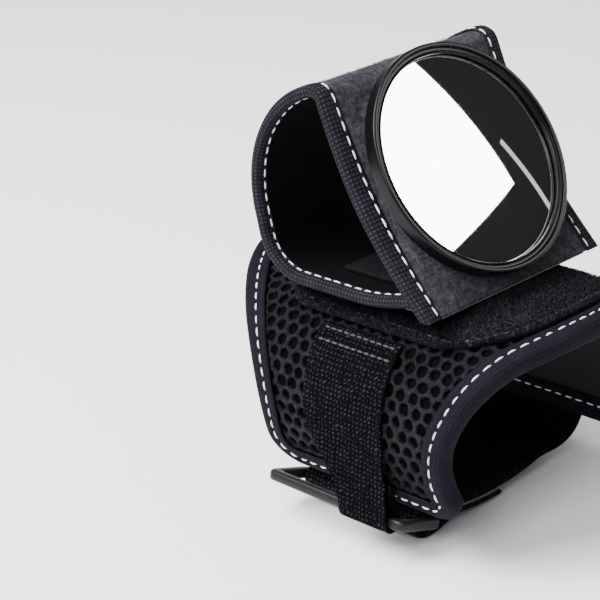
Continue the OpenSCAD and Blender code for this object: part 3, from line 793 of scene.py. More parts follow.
def knit_paint():
    colour = (0.0045, 0.0045, 0.0070)
    paint = Paint("mesh_knit", colour, 0.6, Specular_IOR_Level=0.16, Sheen_Weight=0.04)
    cloth = paint.cloth()
    strands = paint.wave(paint.math("ADD", paint.axis(cloth, 0), paint.axis(cloth, 1)), 0.42)
    cross = paint.wave(paint.math("SUBTRACT", paint.axis(cloth, 0), paint.axis(cloth, 1)), 0.42)
    yarn = paint.math("MAXIMUM", strands, cross)
    lumps = paint.noise(cloth, 1.1)
    mixed = paint.math("MULTIPLY", yarn, lumps)
    # The yarn crests are painted up to 3.8 times lighter and the hollows between them darker: partly
    # the knit's own tone, partly painted highlight and painted shade.
    paint.colour(mixed, [(0.2, shade(colour, 0.2)), (0.45, shade(colour, 0.9)),
                         (0.7, shade(colour, 3.8))])
    paint.bump(yarn, 0.34).bump(lumps, 0.55)
    return paint.material


def core_paint():
    colour = (0.0012, 0.0012, 0.0016)
    paint = Paint("mesh_core", colour, 0.9, Specular_IOR_Level=0.03)
    yarns = paint.noise(paint.cloth(), 0.35, stretch=(1, 1, 0.15))
    paint.colour(yarns, [(0.35, shade(colour, 0.4)), (0.75, shade(colour, 2.2))])
    paint.bump(yarns, 0.2)
    return paint.material


def lining_paint(name="wrist_lining", colour=(0.0085, 0.0085, 0.0105), pitch=0.8, gloss=0.2):
    paint = Paint(name, colour, 0.75, Specular_IOR_Level=gloss, Sheen_Weight=gloss / 2)
    cloth = paint.cloth()
    rib = paint.wave(paint.axis(cloth, 0), pitch)
    loop = paint.wave(paint.axis(cloth, 1), pitch * 0.75)
    weave = paint.math("MULTIPLY", rib, loop)
    worn = paint.noise(cloth, 9.0, detail=4)
    tone = paint.mix(worn, 0.5, weave, 0.5)
    paint.colour(tone, [(0.15, shade(colour, 0.55)), (0.7, shade(colour, 1.5))])
    paint.bump(weave, 0.07)
    return paint.material


def ribbed_paint(name, colour, pitch, depth, lit=1.7):
    """Tape with fine ribs across it, as grosgrain has."""
    paint = Paint(name, colour, 0.7, Specular_IOR_Level=0.06, Sheen_Weight=0.03)
    cloth = paint.cloth()
    ribs = paint.wave(paint.axis(cloth, 1), pitch)
    threads = paint.wave(paint.axis(cloth, 0), 0.22)
    worn = paint.noise(cloth, 5.0, detail=5)
    fluff = paint.noise(cloth, 0.3, detail=2)
    knots = paint.math("MULTIPLY", ribs, paint.wave(paint.axis(cloth, 0), 0.95))
    speckle = paint.noise(cloth, 0.7, detail=4, roughness=0.7)
    weave = paint.mix(knots, 0.55, speckle, 0.5)
    tone = paint.mix(weave, 0.65, worn, 0.35)
    paint.colour(tone, [(0.25, shade(colour, 0.3)), (0.5, colour), (0.8, shade(colour, lit))])
    paint.bump(ribs, depth).bump(threads, depth * 0.35).bump(fluff, 0.06)
    return paint.material


def pile_paint(name, colour, size=0.6):
    paint = Paint(name, colour, 0.85, Specular_IOR_Level=0.06, Sheen_Weight=0.06)
    cloth = paint.cloth()
    tufts = paint.noise(cloth, size, detail=4, roughness=0.7)
    patches = paint.noise(cloth, 6.0, detail=3)
    tone = paint.mix(tufts, 0.8, patches, 0.2)
    paint.colour(tone, [(0.36, shade(colour, 0.25)), (0.5, colour), (0.66, shade(colour, 3.4))])
    paint.bump(tufts, 0.7)
    return paint.material


def dotted_paint(name, colour):
    """Woven loop tape: small raised dots in uneven rows, with their tops painted lighter as a painted
    highlight.
    """
    paint = Paint(name, colour, 0.8, Specular_IOR_Level=0.04, Sheen_Weight=0.02)
    cloth = paint.cloth()
    slip = paint.noise(cloth, 1.6, detail=2)
    across = paint.wave(paint.math("MULTIPLY_ADD", slip, 2.2, paint.axis(cloth, 0)), 1.15)
    along = paint.wave(paint.math("MULTIPLY_ADD", slip, -1.6, paint.axis(cloth, 1)), 1.05)
    dots = paint.math("MULTIPLY", across, along)
    fine = paint.wave(paint.axis(cloth, 1), 0.26)
    worn = paint.noise(cloth, 2.2, detail=5, roughness=0.65)
    tone = paint.mix(dots, 0.5, worn, 0.6)
    # The top of the ramp paints the raised dots up to 7.5 times lighter than the tape, a painted
    # highlight; the worn noise adds random mottle.
    paint.colour(tone, [(0.32, shade(colour, 0.2)), (0.52, colour), (0.76, shade(colour, 7.5))])
    paint.bump(dots, 0.4).bump(fine, 0.08).bump(worn, 0.3)
    return paint.material


def felt_paint():
    colour = (0.0320, 0.0305, 0.0380)
    paint = Paint("felt", colour, 0.88, Specular_IOR_Level=0.08, Sheen_Weight=0.1)
    cloth = paint.cloth()
    clouds = paint.noise(cloth, 2.6, detail=6, roughness=0.75)
    hairs_a = paint.noise(cloth, 0.55, detail=4, stretch=(0.25, 1, 1))
    hairs_b = paint.noise(cloth, 0.55, detail=4, stretch=(1, 0.3, 1))
    hairs = paint.math("MAXIMUM", hairs_a, hairs_b)
    tone = paint.mix(clouds, 0.5, hairs, 0.5)
    paint.colour(tone, [(0.38, shade(colour, 0.25)), (0.5, shade(colour, 0.85)),
                        (0.6, shade(colour, 1.7)), (0.7, shade(colour, 3.0))])
    paint.bump(hairs, 0.2).bump(clouds, 0.35)
    return paint.material


def thread_paint():
    colour = (0.80, 0.80, 0.82)
    paint = Paint("white_thread", colour, 0.5, Sheen_Weight=0.3)
    cloth = paint.cloth()
    twist = paint.math("MULTIPLY_ADD", paint.axis(cloth, 1), 9.0, paint.axis(cloth, 0))
    ply = paint.math("MULTIPLY_ADD", paint.math("SINE", paint.math("MULTIPLY", twist, 2)),
                     0.5, 0.5)
    paint.colour(ply, [(0.0, shade(colour, 0.62)), (0.6, colour)])
    paint.bump(ply, 0.05)
    return paint.material


def dark_thread_paint(name, colour):
    paint = Paint(name, colour, 0.6, Sheen_Weight=0.3)
    fluff = paint.noise(paint.place(), 0.3)
    paint.colour(fluff, [(0.3, shade(colour, 0.6)), (0.7, shade(colour, 1.5))])
    paint.bump(fluff, 0.05)
    return paint.material


def hook_paint():
    colour = (0.012, 0.012, 0.014)
    paint = Paint("hook_tape", colour, 0.42)
    cloth = paint.cloth()
    rows = paint.wave(paint.axis(cloth, 1), 0.9)
    grain = paint.noise(cloth, 0.5)
    paint.colour(grain, [(0.3, shade(colour, 0.6)), (0.75, shade(colour, 2.2))])
    paint.bump(rows, 0.05).bump(grain, 0.06)
    return paint.material


def plastic_paint(name, colour, roughness, grain=0.5, depth=0.015, gloss=0.5):
    """Moulded plastic with a fine grain, faint flow clouds and light rubbing."""
    paint = Paint(name, colour, roughness, Specular_IOR_Level=gloss)
    place = paint.place()
    clouds = paint.noise(place, 12.0, detail=2)
    fine = paint.noise(place, grain, detail=3)
    rub = paint.noise(place, 3.0, detail=6, stretch=(1, 0.2, 1), roughness=0.7)
    paint.colour(clouds, [(0.3, shade(colour, 0.85)), (0.7, shade(colour, 1.2))])
    paint.rough(rub, roughness - 0.08, roughness + 0.10)
    paint.bump(fine, depth)
    return paint.material


def mirror_paint():
    paint = Paint("mirror_silver", (0.88, 0.89, 0.90), 0.015, Metallic=1.0, Coat_Weight=1.0,
                  Coat_Roughness=0.01)
    dust = paint.noise(paint.place(), 5.0, detail=8, roughness=0.75)
    paint.rough(dust, 0.0, 0.035)
    paint.colour(dust, [(0.3, (0.86, 0.875, 0.885)), (0.7, (0.90, 0.905, 0.91))])
    return paint.material


def steel_paint():
    paint = Paint("screw_steel", (0.52, 0.52, 0.53), 0.32, Metallic=1.0)
    place = paint.place()
    brushed = paint.noise(place, 0.5, stretch=(0.1, 1, 1))
    paint.rough(brushed, 0.22, 0.45)
    paint.colour(brushed, [(0.3, (0.42, 0.42, 0.44)), (0.7, (0.60, 0.60, 0.61))])
    paint.bump(brushed, 0.01)
    return paint.material


def foam_paint():
    colour = (0.62, 0.62, 0.59)
    paint = Paint("foam_tape", colour, 0.9)
    cells = paint.noise(paint.place(), 0.25, detail=2)
    paint.colour(cells, [(0.3, shade(colour, 0.75)), (0.7, colour)])
    paint.bump(cells, 0.08)
    return paint.material


KNIT = knit_paint()
CORE = core_paint()
WRIST_LINING = lining_paint()
LOOP_BLACK = lining_paint("loop_lining", (0.0016, 0.0016, 0.0021), pitch=0.5, gloss=0.06)
GROSGRAIN = ribbed_paint("grosgrain", (0.0050, 0.0046, 0.0090), 0.62, depth=0.07, lit=2.1)
EDGING_TAPE = ribbed_paint("ribbed_edging", (0.0104, 0.0094, 0.0138), 0.95, depth=0.10,
                           lit=4.2)
PILE = pile_paint("loop_pile", (0.0034, 0.0032, 0.0042))
# The pile's loops get a copy of the pile's paint 2.5 times lighter than the pad below them: a painted
# highlight where the loops stand up into the light.
PILE_LOOPS_PAINTED_LIGHT = pile_paint("pile_loops_painted_light", (0.0085, 0.0080, 0.0106), size=0.9)
WEBBING = dotted_paint("loop_webbing", (0.0029, 0.0029, 0.0040))
FELT_PAINT = felt_paint()
THREAD = thread_paint()
GREY_THREAD = dark_thread_paint("grey_thread", (0.05, 0.05, 0.056))
BLACK_THREAD = dark_thread_paint("black_thread", (0.012, 0.012, 0.014))
HOOKS = hook_paint()
TAB_RIBS = ribbed_paint("ribbed_tab", (0.0065, 0.0065, 0.0080), 1.0, depth=0.05)
RING_PLASTIC = plastic_paint("ring_plastic", (0.0045, 0.0045, 0.0056), 0.42, depth=0.02,
                             gloss=0.24)
PLATE_PLASTIC = plastic_paint("plate_plastic", (0.03, 0.03, 0.03), 0.55)
HOUSING_PLASTIC = plastic_paint("housing_plastic", (0.0022, 0.0022, 0.0027), 0.36, gloss=0.10)
RIM_PLASTIC = plastic_paint("rim_plastic", (0.0020, 0.0020, 0.0025), 0.26, gloss=0.13)
SILVER = mirror_paint()
STEEL = steel_paint()
FOAM = foam_paint()


# ---- guard ----
OUTLINE_STEP = 0.75
outline = resample(guard_outline(), OUTLINE_STEP, closed=True)[0]
outline_run = OUTLINE_STEP * np.arange(len(outline))
outline_inward = -left_side(outline, closed=True)


def inset(points):
    """Distance of flat points in from the guard's edge, negative outside it."""
    offsets = points[:, None, :] - outline[None, :, :]
    nearest = np.argmin((offsets ** 2).sum(-1), axis=1)
    rows = np.arange(len(points))
    return (offsets[rows, nearest] * outline_inward[nearest]).sum(-1)


HOLE_PITCH = 3.45
HOLE_RADIUS = 1.22
HOLE_MARGIN = 2.35              # from the guard's edge to the middle of the outermost holes
KNIT_LAYER = 1.1                # depth of the open outer face
PINCH = 0.3                     # how far the mesh is pressed flat under the binding


def mesh_knit():
    """Outer face of the spacer mesh: a sheet of rounded threads around round holes."""
    row_step = HOLE_PITCH * math.sqrt(3) / 2
    rows = int(WING_REACH / row_step) + 1
    reach = WING_WIDTH / 2 + WING_SHIFT + HAND_FLARE
    columns = int(reach / HOLE_PITCH) + 1
    centres = np.array([((i + 0.5 * (j % 2)) * HOLE_PITCH, j * row_step)
                        for j in range(-rows, rows + 1) for i in range(-columns, columns)])
    centres = centres[inset(centres) > HOLE_MARGIN]
    sides = 12
    angles = np.radians(360 / sides * np.arange(sides))
    border = np.where(np.arange(sides) % 2 == 0, HOLE_PITCH / 2, HOLE_PITCH / math.sqrt(3))
    rings = [(None, -0.02), (HOLE_RADIUS + 0.26, -0.08), (HOLE_RADIUS + 0.08, -0.30),
             (HOLE_RADIUS, -0.65), (HOLE_RADIUS + 0.06, -KNIT_LAYER)]
    verts, faces, known = [], [], {}
    for centre in centres:
        wobble = 1 + 0.06 * rng.standard_normal(2)
        shift = 0.09 * rng.standard_normal(2)
        lumpy = 1 + 0.05 * rng.standard_normal(sides)
        ids = []
        for radius, depth in rings:
            row = []
            for angle, edge, lump in zip(angles, border, lumpy):
                if radius is None:
                    p = centre + edge * np.array([math.cos(angle), math.sin(angle)])
                    key = (round(p[0], 2), round(p[1], 2))
                    if key not in known:
                        known[key] = len(verts)
                        verts.append((p[0], p[1], GUARD + depth))
                    row.append(known[key])
                else:
                    p = centre + shift + radius * lump * wobble * np.array(
                        [math.cos(angle), 1.04 * math.sin(angle)])
                    row.append(len(verts))
                    verts.append((p[0], p[1], GUARD + depth))
            ids.append(row)
        for a, b in zip(ids, ids[1:]):
            faces += [(a[j], a[(j + 1) % sides], b[(j + 1) % sides], b[j])
                      for j in range(sides)]
    flat = np.array(verts)
    flat[:, 2] += 0.10 * rough(flat * [1, 1, 0], 9.0, 2) - 0.10
    pinch = smooth((7.5 - inset(flat[:, :2])) / 3.5)
    flat[:, 2] -= PINCH * pinch
    placed = on_guard(flat)
    a, b, c = (placed[[f[k] for f in faces[:400]]] for k in (0, 1, 2))
    facing = (np.cross(b - a, c - a) * (placed[[f[0] for f in faces[:400]]] * [0, 1, 1])).sum()
    if facing < 0:
        faces = [f[::-1] for f in faces]
    return make("mesh_knit", placed, faces, KNIT, cloth=flat, outward=False)


def guard_slab(name, bottom, top, margin, material, under=None):
    """A layer of the guard that ends under the binding."""
    side = WING_REACH - margin
    return slab(name, on_guard, np.linspace(-side, side, 110),
                lambda s: hand_edge(s) + corner_cut(s, WING_REACH, HAND_CORNER) + margin,
                lambda s: elbow_edge(s) - corner_cut(s, WING_REACH, ELBOW_CORNER) - margin,
                bottom, top, 50, material, ease=0.5, under=under)


knit = mesh_knit()
core = guard_slab("mesh_core", LINING + TOUCH, GUARD - KNIT_LAYER - 0.05, 1.6, CORE)
wrist_lining = guard_slab(
    "wrist_lining", 0.02, LINING, 1.2, WRIST_LINING,
    under=lambda a, s: 0.08 * np.abs(np.sin(np.pi * a / 6.0)) * np.abs(np.sin(np.pi * s / 6.0)))


BINDING_SEAM = 3.0              # from the guard's edge to the stitches


def binding_piece():
    """Grosgrain folded round the guard's edge, pulled in a little at every stitch."""
    middle = GUARD / 2
    outer = [(5.2, 3.74), (5.22, 4.02), (5.0, 4.16), (4.2, 4.2), (3.4, 4.16), (3.0, 4.08),
             (2.5, 4.16), (1.4, 4.18), (0.5, 4.02), (-0.15, 3.55), (-0.5, 2.8), (-0.6, 1.85),
             (-0.5, 0.9), (-0.15, 0.15), (0.5, -0.32), (1.5, -0.5), (3.0, -0.42), (4.6, -0.5),
             (5.1, -0.42), (5.2, -0.08)]
    inner = [(1.2, -0.03), (0.4, 0.5), (0.05, 1.85), (0.4, 3.2), (1.2, 3.7)]
    profile = np.array(outer + inner)
    length = distances(profile)
    wander = 0.12 * rough(np.column_stack([outline, 0 * outline_run]), 11.0, 4)

    def section(i):
        ring = np.empty((len(profile), 3))
        ring[:, :2] = outline[i] + (profile[:, :1] + wander[i]) * outline_inward[i]
        ring[:, 2] = profile[:, 1]
        gather = 0.5 + 0.5 * math.cos(2 * math.pi * outline_run[i] / STITCH_PITCH)
        face = np.exp(-((profile[:, 0] - BINDING_SEAM) / 0.9) ** 2)
        ring[:, 2] -= np.sign(profile[:, 1] - middle) * 0.16 * gather * face
        return ring

    return sweep("edge_tape", on_guard, range(len(outline)), section, GROSGRAIN, closed=True,
                 weave=lambda i: np.column_stack([length, 0 * length + outline_run[i],
                                                  profile[:, 1]]))


edge_tape = binding_piece()
stitch_line = outline + BINDING_SEAM * outline_inward
edge_stitches = stitches("edge_stitches", on_guard, stitch_line, 4.12, THREAD, radius=0.22,
                         closed=True)
lining_stitches = stitches("lining_stitches", on_guard, stitch_line, -0.46, THREAD,
                           closed=True, sign=-1)

# ---- loop pad ----
PAD_MARGIN = BINDING_WIDTH + 0.5
PAD_HAND_CORNER = 8.0
PAD_ELBOW_CORNER = 15.0
PAD_SEAM = 2.2                  # from the pad's edge to its stitches
PAD_LOOPS = 14000


def pad_low(along):
    return PAD_HAND_X + corner_cut(along, PAD_REACH, PAD_HAND_CORNER)


def pad_high(along):
    return elbow_edge(along) - PAD_MARGIN - corner_cut(along, PAD_REACH, PAD_ELBOW_CORNER)


def pad_edge(a, s):
    """Distance of flat points in from the pad's edge."""
    return np.minimum(a - pad_low(s), np.minimum(pad_high(s) - a, PAD_REACH - np.abs(s)))


def pad_relief(a, s):
    seam = np.exp(-((pad_edge(a, s) - PAD_SEAM) / 0.5) ** 2)
    return 0.12 * lumps(a, s, 2.2, 5) - 0.12 - 0.35 * seam


pad_rows = -PAD_REACH * np.cos(np.linspace(0, np.pi, 110))
loop_pad = slab("loop_pad_pile", on_guard, pad_rows, pad_low, pad_high, GUARD + TOUCH,
                PAD_TOP, 90, PILE, ease=0.6, relief=pad_relief)


def pad_roots(count, margin):
    s = rng.uniform(-PAD_REACH + margin, PAD_REACH - margin, count)
    a = pad_low(s) + margin + (pad_high(s) - pad_low(s) - 2 * margin) * rng.uniform(0, 1, count)
    keep = np.abs(pad_edge(a, s) - PAD_SEAM) > 0.35 * rng.uniform(0, 1, count)
    return np.column_stack([a, s, 0 * a + PAD_TOP - 0.3])[keep]


pad_loops = fibres("loop_pad_loops", on_guard, pad_roots(PAD_LOOPS, 0.2), PILE_LOOPS_PAINTED_LIGHT,
                   length=1.35, rise=0.75, width=0.17, loops=True)


def pad_seam_line():
    side = PAD_REACH - PAD_SEAM
    s = np.linspace(-side, side, 200)
    lower = np.column_stack([pad_low(s) + PAD_SEAM, s])
    upper = np.column_stack([pad_high(s) - PAD_SEAM, s])[::-1]
    return np.vstack([lower, upper])


pad_stitches = stitches("pad_stitches", on_guard, pad_seam_line(), PAD_TOP - 0.42, GREY_THREAD,
                        pitch=2.0, length=1.7, radius=0.16, closed=True)

# ---- anchor tape ----
tape = tape_track()
TAPE_MID_X, TAPE_BAR_X, TAPE_BAR_SHARE = -1.2, 5.7, 0.6
SELVEDGE_PITCH = 0.9            # spacing of the ribs along the edges of the tape and straps


def tape_side(side):
    def at(s):
        u = smooth((s - tape.to_bar[0]) / (tape.to_bar[1] - tape.to_bar[0]))
        middle = TAPE_MID_X + (TAPE_BAR_X - TAPE_MID_X) * u
        return middle + side * TAPE_WIDTH / 2 * (1 + (TAPE_BAR_SHARE - 1) * u)
    return at


def tape_relief(a, s):
    share = (a - tape_side(-1)(s)) / (tape_side(1)(s) - tape_side(-1)(s)) * TAPE_WIDTH
    edge = np.minimum(share, TAPE_WIDTH - share)
    dots = np.sin(2 * np.pi * share / 1.15) * np.sin(2 * np.pi * s / 1.05)
    ribs = np.cos(2 * np.pi * edge / SELVEDGE_PITCH)
    ground = smooth((edge - 1.9) / 0.4)
    crown = 0.06 * lumps(a, s, 6.0, 8)
    return 0.16 * dots * ground + 0.09 * ribs * (1 - ground) - 0.16 + crown


anchor_tape = slab("anchor_tape_weave", tape, np.arange(0, tape.length, 0.26), tape_side(-1),
                   tape_side(1), 0.03, TAPE, 76, WEBBING, ease=0.35, relief=tape_relief)
tape_seams = [
    stitches(f"anchor_seam_{k}", tape,
             np.array([[TAPE_MID_X - TAPE_WIDTH / 2 + 1, at], [TAPE_MID_X + TAPE_WIDTH / 2 - 1, at]]),
             TAPE - 0.12, BLACK_THREAD, pitch=1.9, length=1.7, radius=0.26)
    for k, at in enumerate((1.6, 4.4))]


# ---- ring ----
RING_CORNER = 2.3


def ring_piece():
    """Rectangular ring with rounded bars, as outlines that step in around its section."""
    outer_x = (high("ring")[0] - low("ring")[0]) / 2
    outer_y = (RING_SPAN + RING_BAR) / 2
    profile = []
    for t in np.radians(np.linspace(0, 360, 24, endpoint=False)):
        profile.append((np.sign(math.cos(t)) * abs(math.cos(t)) ** 0.55 * RING_BAR / 2,
                        np.sign(math.sin(t)) * abs(math.sin(t)) ** 0.55 * RING_THICK / 2))

    def outline_at(step_in, height):
        corner = max(0.35, RING_CORNER - 0.62 * step_in)
        x, y = outer_x - step_in - corner, outer_y - step_in - corner
        points = []
        for k, (sx, sy) in enumerate(((1, 1), (-1, 1), (-1, -1), (1, -1))):
            for t in np.radians(90 * k + np.linspace(0, 90, 7)):
                points.append((sx * x + corner * math.cos(t), sy * y + corner * math.sin(t),
                               height))
        return np.array(points)

    rings = np.array([outline_at(RING_BAR / 2 - a, h) for a, h in profile])
    n, m = rings.shape[:2]
    flat = rings.reshape(-1, 3)
    faces = grid_faces(n, m, wrap=True)
    faces += [((n - 1) * m + j, (n - 1) * m + (j + 1) % m, (j + 1) % m, j) for j in range(m)]
    across = np.array([0, ring_run[0], ring_run[1]])
    upward = np.array([0, -ring_run[1], ring_run[0]])
    placed = (ring_mid + flat[:, :1] * [1, 0, 0] + flat[:, 1:2] * across
              + flat[:, 2:] * upward)
    return make("closure_ring", placed, faces, RING_PLASTIC, cloth=flat)


closure_ring = ring_piece()

# ---- closure strap and tail ----
closure = closure_track()


def webbing_relief(lower, upper):
    def at(a, s):
        edge = np.minimum(a - lower, upper - a)
        ribs = np.cos(2 * np.pi * edge / SELVEDGE_PITCH) * (1 - smooth((edge - 2.2) / 0.4))
        return 0.07 * ribs - 0.07 + 0.05 * lumps(a, s, 7.0, 11)
    return at


closure_strap = slab("closure_webbing", closure, np.arange(0, closure.length + 0.3, 0.6),
                     STRAP_LOW_X, STRAP_HIGH_X, 0.03, STRAP, 90, WEBBING, ease=0.5,
                     relief=webbing_relief(STRAP_LOW_X, STRAP_HIGH_X))
tail_line = tail_track()
TAIL_LOW_X, TAIL_HIGH_X = low("closure_tail")[0], high("closure_tail")[0]
closure_tail = slab("closure_end", tail_line, np.linspace(0, TAIL_LENGTH, 60), TAIL_LOW_X,
                    TAIL_HIGH_X, PATCH, PATCH + STRAP, 80, WEBBING, ease=0.5,
                    relief=webbing_relief(TAIL_LOW_X, TAIL_HIGH_X))


def hook_bumps(pitch, rise):
    def at(a, s):
        return rise * (np.sin(np.pi * a / pitch) * np.sin(np.pi * s / pitch)) ** 2
    return at


hook_patch = slab("closure_hooks", tail_line,
                  np.arange(TAIL_LENGTH - PATCH_LENGTH, TAIL_LENGTH - 0.5, 0.35),
                  TAIL_LOW_X, TAIL_HIGH_X, 0.12, PATCH - TOUCH, 90, HOOKS, ease=0.2,
                  under=lambda a, s: -hook_bumps(1.4, 0.12)(a, s))


def box_seam(name, place, low_a, high_a, low_s, high_s, height, material):
    """A sewn box with a cross, one line of stitches."""
    a, b, c, d = (low_a, low_s), (high_a, low_s), (high_a, high_s), (low_a, high_s)
    line = np.array([a, b, c, d, a, c, (high_a - 0.01, high_s), b, d])
    return stitches(name, place, line, height, material, pitch=2.2, length=1.85, radius=0.2)


closure_seam = box_seam("closure_seam", closure, STRAP_LOW_X + 3.5, STRAP_HIGH_X - 3.5, 2.0,
                        10.5, STRAP - 0.1, BLACK_THREAD)
tail_seam = box_seam("tail_seam", tail_line, TAIL_LOW_X + 2.2, TAIL_HIGH_X - 2.2,
                     TAIL_LENGTH - PATCH_LENGTH + 1.5, TAIL_LENGTH - 2.2, PATCH + STRAP - 0.1,
                     BLACK_THREAD)

# ---- mirror strap ----
SOLE_LOW, SOLE_HIGH = low("sole_hook_patch"), high("sole_hook_patch")


sole = slab("sole_hooks",
            lambda flat: np.column_stack([flat[:, 1], flat[:, 0], flat[:, 2]]),
            np.arange(SOLE_LOW[0], SOLE_HIGH[0], 0.36), SOLE_LOW[1], SOLE_HIGH[1],
            SOLE_LOW[2] + 0.13, SOLE_HIGH[2], 120, HOOKS, ease=0.2,
            under=lambda a, s: -hook_bumps(1.5, 0.13)(a, s))

loop_rows = np.concatenate([np.arange(0, loop_track.length - 0.3, 0.8), [loop_track.length]])


def felt_relief(a, s):
    curled = smooth((s - PANEL_LENGTH + 4) / 8)
    return -(0.07 * lumps(a, s, 3.5, 13) + 0.07 + curled * 0.35 * (lumps(a, s, 22.0, 14) + 0.4))


# Depths run into the strap, so the felt's outer face is the slab's bottom
felt = slab("felt_strap", on_loop, loop_rows, -LOOP_HALF, LOOP_HALF, 0, FELT, 44, FELT_PAINT,
            ease=0.3, under=lambda a, s: -felt_relief(a, s))
loop_lining = slab("loop_lining_cloth", on_loop, loop_rows, -LOOP_HALF, LOOP_HALF,
                   FELT + TOUCH, STRAP_THICK, 30, LOOP_BLACK, ease=0.2)


FELT_HAIRS = 16000


def felt_roots(count):
    a = rng.uniform(-LOOP_HALF + 4, LOOP_HALF - 4, count)
    s = rng.uniform(0.5, PANEL_LENGTH + 62, count)
    return np.column_stack([a, s, 0 * a + 0.1])


MIRROR_UP = PANEL_LENGTH / 2 + 3          # middle of the mirror above the foot
RIM_RADIUS = (high("mirror_rim")[1] - low("mirror_rim")[1]) / 2
roots = felt_roots(FELT_HAIRS)
from_mirror = np.hypot(roots[:, 0], roots[:, 1] - MIRROR_UP)
roots = roots[from_mirror > RIM_RADIUS + 0.8]
felt_hairs = fibres("felt_hairs", on_loop, roots, FELT_PAINT, length=1.5, rise=0.28,
                    width=0.07, side=-1)

EDGING = 0.4                    # thickness of the edging
EDGING_FRONT = 3.7              # its width on the felt
EDGING_BACK = 2.5               # its width inside the loop
EDGING_SEAM = 2.9               # from the strap's edge to the stitches on the felt
EDGING_SEAM_INSIDE = 1.75


def edging_piece(name, side):
    """Ribbed tape folded round one long edge of the strap."""
    half = LOOP_HALF
    inside = STRAP_THICK + TOUCH
    profile = np.array([
        (half - EDGING_FRONT, -0.04), (half - EDGING_FRONT - 0.02, -0.30),
        (half - EDGING_FRONT + 0.25, -0.42), (half - EDGING_SEAM - 0.4, -0.44),
        (half - EDGING_SEAM, -0.34), (half - EDGING_SEAM + 0.5, -0.45), (half - 1.2, -0.47),
        (half - 0.3, -0.40), (half + 0.22, -0.05), (half + 0.42, 0.5), (half + 0.42, 1.3),
        (half + 0.22, 1.85), (half - 0.3, inside + 0.36), (half - 1.1, inside + 0.44),
        (half - EDGING_SEAM_INSIDE, inside + 0.34), (half - 2.15, inside + 0.44),
        (half - EDGING_BACK + 0.1, inside + 0.38), (half - EDGING_BACK, inside + 0.25),
        (half - EDGING_BACK, inside), (half - 0.3, inside), (half + 0.02, 1.3),
        (half + 0.02, 0.5), (half - 0.3, -0.04)])
    length = distances(profile)
    rows = np.linspace(0, loop_track.length, int(loop_track.length / 0.5) + 1)
    wander = 0.10 * lumps(rows, 0 * rows + side, 9.0, 21)

    def section(i):
        gather = 0.5 + 0.5 * math.cos(2 * math.pi * rows[i] / STITCH_PITCH)
        rib = 0.02 * math.cos(2 * math.pi * rows[i] / 1.0)
        away = np.sign(profile[:, 1] - STRAP_THICK / 2)
        seam = (np.exp(-((profile[:, 0] - half + EDGING_SEAM) / 0.8) ** 2) * (away < 0)
                + np.exp(-((profile[:, 0] - half + EDGING_SEAM_INSIDE) / 0.8) ** 2) * (away > 0))
        outer = np.where(np.arange(len(profile)) < 18, 1.0, 0.0)
        depth = profile[:, 1] + away * outer * (rib - 0.02 - 0.14 * gather * seam)
        inward = wander[i] * np.where(profile[:, 0] < half - 2.6, 1, 0)
        return np.column_stack([side * (profile[:, 0] + inward), 0 * depth + rows[i], depth])

    return sweep(name, on_loop, range(len(rows)), section, EDGING_TAPE,
                 weave=lambda i: np.column_stack([length, 0 * length + rows[i], profile[:, 1]]))


edgings, edging_stitches = [], []
for label, side in (("near", -1), ("far", 1)):
    edgings.append(edging_piece(f"edging_{label}", side))
    for face, inward, depth, sign in (("front", EDGING_SEAM, -0.36, -1),
                                      ("inside", EDGING_SEAM_INSIDE, STRAP_THICK + 0.36, 1)):
        line = np.array([[side * (LOOP_HALF - inward), 0.4],
                         [side * (LOOP_HALF - inward), loop_track.length - 0.4]])
        edging_stitches.append(stitches(f"edging_stitches_{label}_{face}", on_loop, line, depth,
                                        THREAD, sign=sign, length=2.1, radius=0.21))

tab = slab("hook_tab", tab_track, np.arange(0, tab_track.length, 0.2), -TAB_HALF, TAB_HALF,
           0.02, TAB, 24, TAB_RIBS, ease=0.3,
           relief=lambda a, s: 0.16 * np.abs(np.sin(np.pi * s / 1.15)) - 0.16)

# ---- mirror ----
MIRROR_RADIUS = (high("mirror_glass")[1] - low("mirror_glass")[1]) / 2
RIM_HEIGHT = 5.0
HOUSING_STEP = 1.6              # height of the step that the rim sits on
FLOOR = 1.2                     # thickness of the cup's floor
GLASS_BOTTOM = 1.8
GLASS_TOP = 3.3
MIRROR_RISE = 1.8               # rise of the convex mirror from its edge to its middle
WALL_RADIUS = MIRROR_RADIUS + 0.9
panel_up = np.array([heading_vector(PANEL_HEADING)[0], 0, heading_vector(PANEL_HEADING)[1]])
panel_out = np.array([panel_normal[0], 0, panel_normal[1]])
panel_side = np.cross(panel_out, panel_up)
mirror_middle = np.array([foot[0], 0, foot[1]]) + MIRROR_UP * panel_up


def on_panel(flat):
    """Lays points (x, y, height above the felt) on the panel, with y up it."""
    return (mirror_middle + flat[:, :1] * panel_side + flat[:, 1:2] * panel_up
            + flat[:, 2:] * panel_out)


def arc(centre, radius, start, end, count=6):
    t = np.radians(np.linspace(start, end, count))
    return [(centre[0] + radius * math.cos(a), centre[1] + radius * math.sin(a)) for a in t]


